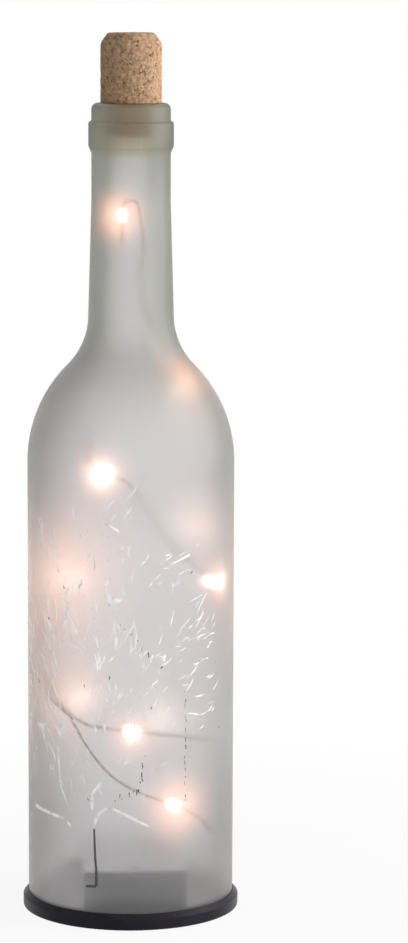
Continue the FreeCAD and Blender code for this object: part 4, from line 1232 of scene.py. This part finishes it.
def pit_cork(bm, cork):
    """Presses pits, cracks between grains and a slight unevenness into the cork."""
    for vertex in bm.verts:
        place = vertex.co.copy()
        grains = noise.voronoi(place / GRAIN_SIZE)[0]
        crack = max(0.0, 1 - (grains[1] - grains[0]) / 0.13)
        hollow = max(0.0, noise.fractal(place / HOLLOW_SIZE, 1.0, 2.0, 4) - 0.22) * 2.2
        uneven = 0.5 + 0.5 * noise.noise(place / UNEVEN_SIZE)
        depth = cork.pit_depth * min(1.0, 0.32 * crack + hollow) + UNEVEN_DEPTH * uneven
        vertex.co -= vertex.normal * depth


def cork_grains(cork):
    """Pressed cork: grains of mixed tones, dark seams, open cracks and pits, paler on its plug."""
    material, tree, shader = new_material("pressed cork")
    place = object_place(tree)
    dark = opaque(cork.dark)
    warp = add(tree, "ShaderNodeTexNoise", {"Vector": place, "Scale": 500.0, "Detail": 3.0})
    bent = mix_colour(tree, 0.0012, place, warp.outputs["Color"])
    cells = {"Vector": bent, "Scale": 1000.0}
    grains = add(tree, "ShaderNodeTexVoronoi", cells).outputs["Color"]
    seams = add(tree, "ShaderNodeTexVoronoi", cells, feature="DISTANCE_TO_EDGE").outputs["Distance"]
    each = add(tree, "ShaderNodeSeparateColor", {0: grains}).outputs[0]
    tones = (
        (0.0, shaded(cork.colour, 0.78)), (0.45, opaque(cork.colour)), (1.0, shaded(cork.colour, 1.18)))
    fine = noise_at(tree, place, 1300.0, 6.0)
    body = mix_colour(tree, 0.35, colour_ramp(tree, each, tones), fine, "OVERLAY")
    body = mix_colour(tree, span(tree, seams, 0.0, 0.07, 0.11, 0.0), body, dark)
    opened = span(tree, noise_at(tree, place, 620.0, 2.0), 0.55, 0.60)
    crack = times(tree, opened, span(tree, seams, 0.06, 0.12, 0.95, 0.0))
    body = mix_colour(tree, crack, body, dark)
    pitted = span(tree, noise_at(tree, bent, 1700.0, 3.0), 0.655, 0.70)
    body = mix_colour(tree, times(tree, pitted, 0.95), body, dark)
    plug = span(tree, height_of(tree), glass_high.z - MM, glass_high.z, 0.2, 0.0)
    relief = math_node(tree, "SUBTRACT", fine, times(tree, pitted, 1.4))
    fill(tree, shader, {
        "Base Color": mix_colour(tree, plug, body, PLUG_PALE),
        "Roughness": 0.82,
        "Normal": bump(tree, relief, CORK_RELIEF)})
    return material


class BOTTLELIGHT_OT_cork(bpy.types.Operator):
    """Turn the cork and press its pits and cracks into it"""
    bl_idname = "bottle_light.cork"
    bl_label = "Cork"

    def execute(self, context):
        cork = context.scene.bottle_light.cork
        bm = spin_outline(cork_outline(cork, glass_high.z), steps=170, closed=False)
        bmesh.ops.recalc_face_normals(bm, faces=bm.faces)
        bm.normal_update()
        pit_cork(bm, cork)
        piece = piece_from(bm, "pressed_cork", "cork", sharp_degrees=70)
        piece.data.materials.append(cork_grains(cork))
        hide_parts("cork")
        return {"FINISHED"}


# Base and battery box
# The colour that the top of the box is drawn paler towards
PALE_TOP_COLOUR = (0.6, 0.6, 0.62, 1.0)
GLUE = (0.55, 0.54, 0.50, 1.0)
PALE_GLUE = (0.68, 0.66, 0.60, 1.0)


def base_plastic(base):
    """Black plastic, which mirrors the box inside the bottle and is duller outside it."""
    material = plastic("black base plastic", base.colour, gloss=0.32, wear=0.15, dust=0.05, shine=0.14)
    tree = material.node_tree
    flat = {0: object_place(tree), 1: (1, 1, 0)}
    across = add(tree, "ShaderNodeVectorMath", flat, operation="MULTIPLY").outputs[0]
    bore = glass_high.x - bpy.context.scene.bottle_light.glass.wall
    inside = span(tree, vector_value(tree, "LENGTH", across), bore - MM, bore, 1.0, 0.0)
    polish(material, inside, ior=2.1, gloss=0.08)
    return material


def cover_plastic(base):
    """Polished plastic, paler on what faces up."""
    material = plastic("box cover plastic", base.box_colour, gloss=0.14, grain=1400.0, shine=1.0)
    tree = material.node_tree
    socket = tree.nodes["Principled BSDF"].inputs["Base Color"]
    bare = socket.links[0].from_socket
    # Paler on what faces up
    film = span(tree, upwards(tree), 0.8, 1.0, 0.0, base.film)
    tree.links.new(mix_colour(tree, film, bare, PALE_TOP_COLOUR), socket)
    polish(material, 1.0, ior=1.9, gloss=0.06)
    return material


def sealing_glue():
    """Cloudy glue."""
    material, tree, shader = new_material("sealing glue")
    cloud = use_group(tree, "grain", scale=700.0, patch_scale=260.0)
    body = mix_colour(tree, cloud["Mask"], GLUE, PALE_GLUE)
    give_surface(tree, shader, body, cloud, rough=(0.18, 0.34), relief=0.00006)
    shader.inputs["Subsurface Weight"].default_value = 0.3
    return material


class BOTTLELIGHT_OT_base(bpy.types.Operator):
    """Finish the base disc, the box cover, the battery door and the glue"""
    bl_idname = "bottle_light.base"
    bl_label = "Base and box"

    def execute(self, context):
        base = context.scene.bottle_light.base
        dress(base_plastic(base), "base_disc")
        dress(cover_plastic(base), "box_cover")
        dress(plastic("battery door plastic", base.colour, gloss=0.4, wear=0.5), "battery_door")
        dress(sealing_glue(), "sealing_ring", "wire_seal")
        return {"FINISHED"}


# Cells: how far from their ends the sleeve's body starts, and the colours of its bands, body and wear
BAND_WIDTH = 9 * MM
SLEEVE_BAND = (0.52, 0.53, 0.55, 1.0)
SLEEVE_BODY = (0.045, 0.09, 0.16, 1.0)
SLEEVE_WEAR = (0.35, 0.37, 0.40, 1.0)


def cell_sleeve():
    """A plain printed sleeve: a blue grey body between two pale bands."""
    material, tree, shader = new_material("cell sleeve")
    along = part_of(tree, object_place(tree), "Y")
    wrap = use_group(tree, "grain", scale=1600.0, patch_scale=90.0)
    past_low = math_node(tree, "GREATER_THAN", along, cells_low.y + BAND_WIDTH)
    before_high = math_node(tree, "LESS_THAN", along, cells_high.y - BAND_WIDTH)
    body = mix_colour(tree, times(tree, past_low, before_high), SLEEVE_BAND, SLEEVE_BODY)
    body = mix_colour(tree, times(tree, wrap["Mask"], 0.25), body, SLEEVE_WEAR)
    give_surface(tree, shader, body, wrap, rough=(0.22, 0.36), relief=0.00001)
    return material


class BOTTLELIGHT_OT_cells(bpy.types.Operator):
    """Finish the three cells with their caps, springs and contact plates"""
    bl_idname = "bottle_light.cells"
    bl_label = "Cells and contacts"

    def execute(self, context):
        dress(cell_sleeve(), "battery_cells")
        dress_plain("cells")
        return {"FINISHED"}


# Timer board: its green mask, the tracks below it and its tinned pads
MASK_GREEN = (0.012, 0.10, 0.045, 1.0)
PALE_GREEN = (0.018, 0.14, 0.06, 1.0)
TRACK_GREEN = (0.03, 0.22, 0.08, 1.0)
TINNED = (0.55, 0.55, 0.52, 1.0)


def green_board():
    """Solder mask over copper tracks, with tinned pads."""
    material, tree, shader = new_material("green board")
    place = object_place(tree)
    bricks = {"Vector": place, "Scale": 260.0, "Mortar Size": 0.05}
    tracks = add(tree, "ShaderNodeTexBrick", bricks).outputs["Fac"]
    pads = add(tree, "ShaderNodeTexVoronoi", {"Vector": place, "Scale": 420.0}, distance="CHEBYCHEV")
    grain = use_group(tree, "grain", scale=1800.0)["Mask"]
    body = mix_colour(tree, grain, MASK_GREEN, PALE_GREEN)
    body = mix_colour(tree, times(tree, tracks, 0.7), body, TRACK_GREEN)
    tinned = math_node(tree, "LESS_THAN", pads.outputs["Distance"], 0.09)
    fill(tree, shader, {
        "Base Color": mix_colour(tree, tinned, body, TINNED),
        "Roughness": span(tree, grain, 0, 1, 0.25, 0.4),
        "Normal": bump(tree, tracks, 0.00003)})
    return material


class BOTTLELIGHT_OT_board(bpy.types.Operator):
    """Finish the timer board, what is soldered on it and its leads"""
    bl_idname = "bottle_light.board"
    bl_label = "Timer board"

    def execute(self, context):
        dress(green_board(), "circuit_board")
        dress_plain("board")
        return {"FINISHED"}


class BOTTLELIGHT_OT_switch(bpy.types.Operator):
    """Finish the slide switch and the screws"""
    bl_idname = "bottle_light.switch"
    bl_label = "Switch and screws"

    def execute(self, context):
        dress_plain("switch")
        return {"FINISHED"}


# Stage: each lamp's place, width and colour, and the colours of the room's light and of the floor
KEY_LAMP = ((1.13, -0.18, 0.60), 1.5, (1.0, 0.98, 0.95))
FILL_LAMP = ((-0.75, -0.85, 0.95), 0.9, (0.95, 0.975, 1.0))
ROOM_COLOUR = (0.97, 0.985, 1.0, 1.0)
FLOOR_COLOUR = (0.9, 0.9, 0.9, 1.0)


def seen_directly(tree):
    """1 for what the camera, a reflection or the glass shows, 0 for what lights the object."""
    path = add(tree, "ShaderNodeLightPath")
    seen = math_node(tree, "MAXIMUM", path.outputs["Is Camera Ray"], path.outputs["Is Glossy Ray"])
    return math_node(tree, "MAXIMUM", seen, path.outputs["Is Transmission Ray"])


def light_of(tree, kind, colour, strength):
    return add(tree, kind, {"Color": colour, "Strength": strength}).outputs[0]


def either(tree, share, first, second):
    """The first shader, and the second by its share."""
    return add(tree, "ShaderNodeMixShader", {0: share, 1: first, 2: second}).outputs[0]


def studio_world(stage):
    """Soft light from the right, behind a white backdrop that the glass shows darker at its left."""
    world = bpy.data.worlds.new("studio")
    world.use_nodes = True
    tree = world.node_tree
    tree.nodes.clear()
    right = part_of(tree, add(tree, "ShaderNodeTexCoord").outputs["Generated"], "X")
    level = span(tree, right, -0.9, 0.7, 0.10 * stage.world_level, 1.2 * stage.world_level)
    room = light_of(tree, "ShaderNodeBackground", ROOM_COLOUR, level)
    shade = span(tree, right, -0.9, -0.2, stage.left_shade, 1.0)
    shaded_white = light_of(tree, "ShaderNodeBackground", WHITE, shade)
    white = light_of(tree, "ShaderNodeBackground", WHITE, 1.0)
    straight = add(tree, "ShaderNodeLightPath").outputs["Is Camera Ray"]
    seen = either(tree, straight, shaded_white, white)
    add(tree, "ShaderNodeOutputWorld", {0: either(tree, seen_directly(tree), room, seen)})
    return world


def studio_floor(stage):
    """A matt floor that shows white away from the bottle's shadow, and nothing from below."""
    bm = bmesh.new()
    bmesh.ops.create_grid(bm, x_segments=1, y_segments=1, size=stage.floor_size / 2)
    mesh = bpy.data.meshes.new("floor")
    bm.to_mesh(mesh)
    bm.free()
    material, tree, shader = new_material("floor")
    tree.nodes.clear()
    matt = add(tree, "ShaderNodeBsdfDiffuse", {"Color": FLOOR_COLOUR}).outputs[0]
    white = light_of(tree, "ShaderNodeEmission", WHITE, 1.0)
    away = vector_value(tree, "LENGTH", object_place(tree))
    lift = span(tree, away, stage.shadow_reach / 3, stage.shadow_reach, 0.9, 1.0)
    top = either(tree, times(tree, seen_directly(tree), lift), matt, white)
    below = add(tree, "ShaderNodeNewGeometry").outputs["Backfacing"]
    clear = add(tree, "ShaderNodeBsdfTransparent").outputs[0]
    add(tree, "ShaderNodeOutputMaterial", {0: either(tree, below, top, clear)})
    mesh.materials.append(material)
    return place_object("floor", mesh)


def soft_lamp(name, power, place, size, colour):
    """A large soft lamp that faces the bottle and isn't seen itself."""
    data = bpy.data.lights.new(name, "AREA")
    data.shape = "DISK"
    data.size = size
    data.energy = power
    data.color = colour
    lamp = place_object(name, data)
    lamp.location = place
    middle = (cad_low + cad_high) / 2
    lamp.rotation_euler = (middle - Vector(place)).to_track_quat("-Z", "Y").to_euler()
    lamp.visible_camera = False
    lamp.visible_transmission = False


class BOTTLELIGHT_OT_stage(bpy.types.Operator):
    """Set the pale floor, the soft lamps and the camera"""
    bl_idname = "bottle_light.stage"
    bl_label = "Stage"

    def execute(self, context):
        stage = context.scene.bottle_light.stage
        context.scene.world = studio_world(stage)
        studio_floor(stage)
        soft_lamp("key lamp", stage.key_power, *KEY_LAMP)
        soft_lamp("fill lamp", stage.fill_power, *FILL_LAMP)
        data = bpy.data.cameras.new("camera")
        data.lens = stage.lens
        camera = place_object("camera", data)
        camera.location = stage.camera_place
        turned = Matrix.Rotation(stage.camera_turn, 3, "Z") @ Matrix.Rotation(stage.camera_tilt, 3, "X")
        camera.rotation_euler = (turned @ Matrix.Rotation(stage.camera_roll, 3, "Z")).to_euler()
        context.scene.camera = camera
        context.scene.view_settings.view_transform = "Standard"
        return {"FINISHED"}


class BOTTLELIGHT_PT_panel(bpy.types.Panel):
    """Lists what makes the bottle light"""
    bl_idname = "BOTTLELIGHT_PT_panel"
    bl_label = "Bottle light"
    bl_space_type = "VIEW_3D"
    bl_region_type = "UI"
    bl_category = "Bottle light"

    def draw(self, context):
        settings = context.scene.bottle_light
        for name in ("glass", "tree", "lamps", "cork", "base", "stage"):
            part = getattr(settings, name)
            box = self.layout.box()
            box.label(text=name.title())
            for key in part.bl_rna.properties.keys():
                if key not in ("rna_type", "name"):
                    box.prop(part, key)
        for step in STEPS:
            self.layout.operator(step.bl_idname)


SETTINGS = (
    GlassSettings, TreeSettings, LampSettings, CorkSettings, BaseSettings, StageSettings,
    BottleLightSettings)
STEPS = (
    BOTTLELIGHT_OT_stage, BOTTLELIGHT_OT_wire, BOTTLELIGHT_OT_lamps, BOTTLELIGHT_OT_cork,
    BOTTLELIGHT_OT_glass, BOTTLELIGHT_OT_tree, BOTTLELIGHT_OT_base, BOTTLELIGHT_OT_cells,
    BOTTLELIGHT_OT_board, BOTTLELIGHT_OT_switch)


def register():
    for item in SETTINGS + STEPS + (BOTTLELIGHT_PT_panel,):
        bpy.utils.register_class(item)
    bpy.types.Scene.bottle_light = PointerProperty(type=BottleLightSettings)


def unregister():
    del bpy.types.Scene.bottle_light
    for item in reversed(SETTINGS + STEPS + (BOTTLELIGHT_PT_panel,)):
        bpy.utils.unregister_class(item)


def main():
    """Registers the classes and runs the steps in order."""
    register()
    for step in STEPS:
        group, name = step.bl_idname.split(".")
        getattr(getattr(bpy.ops, group), name)()


if __name__ == "__main__":
    main()
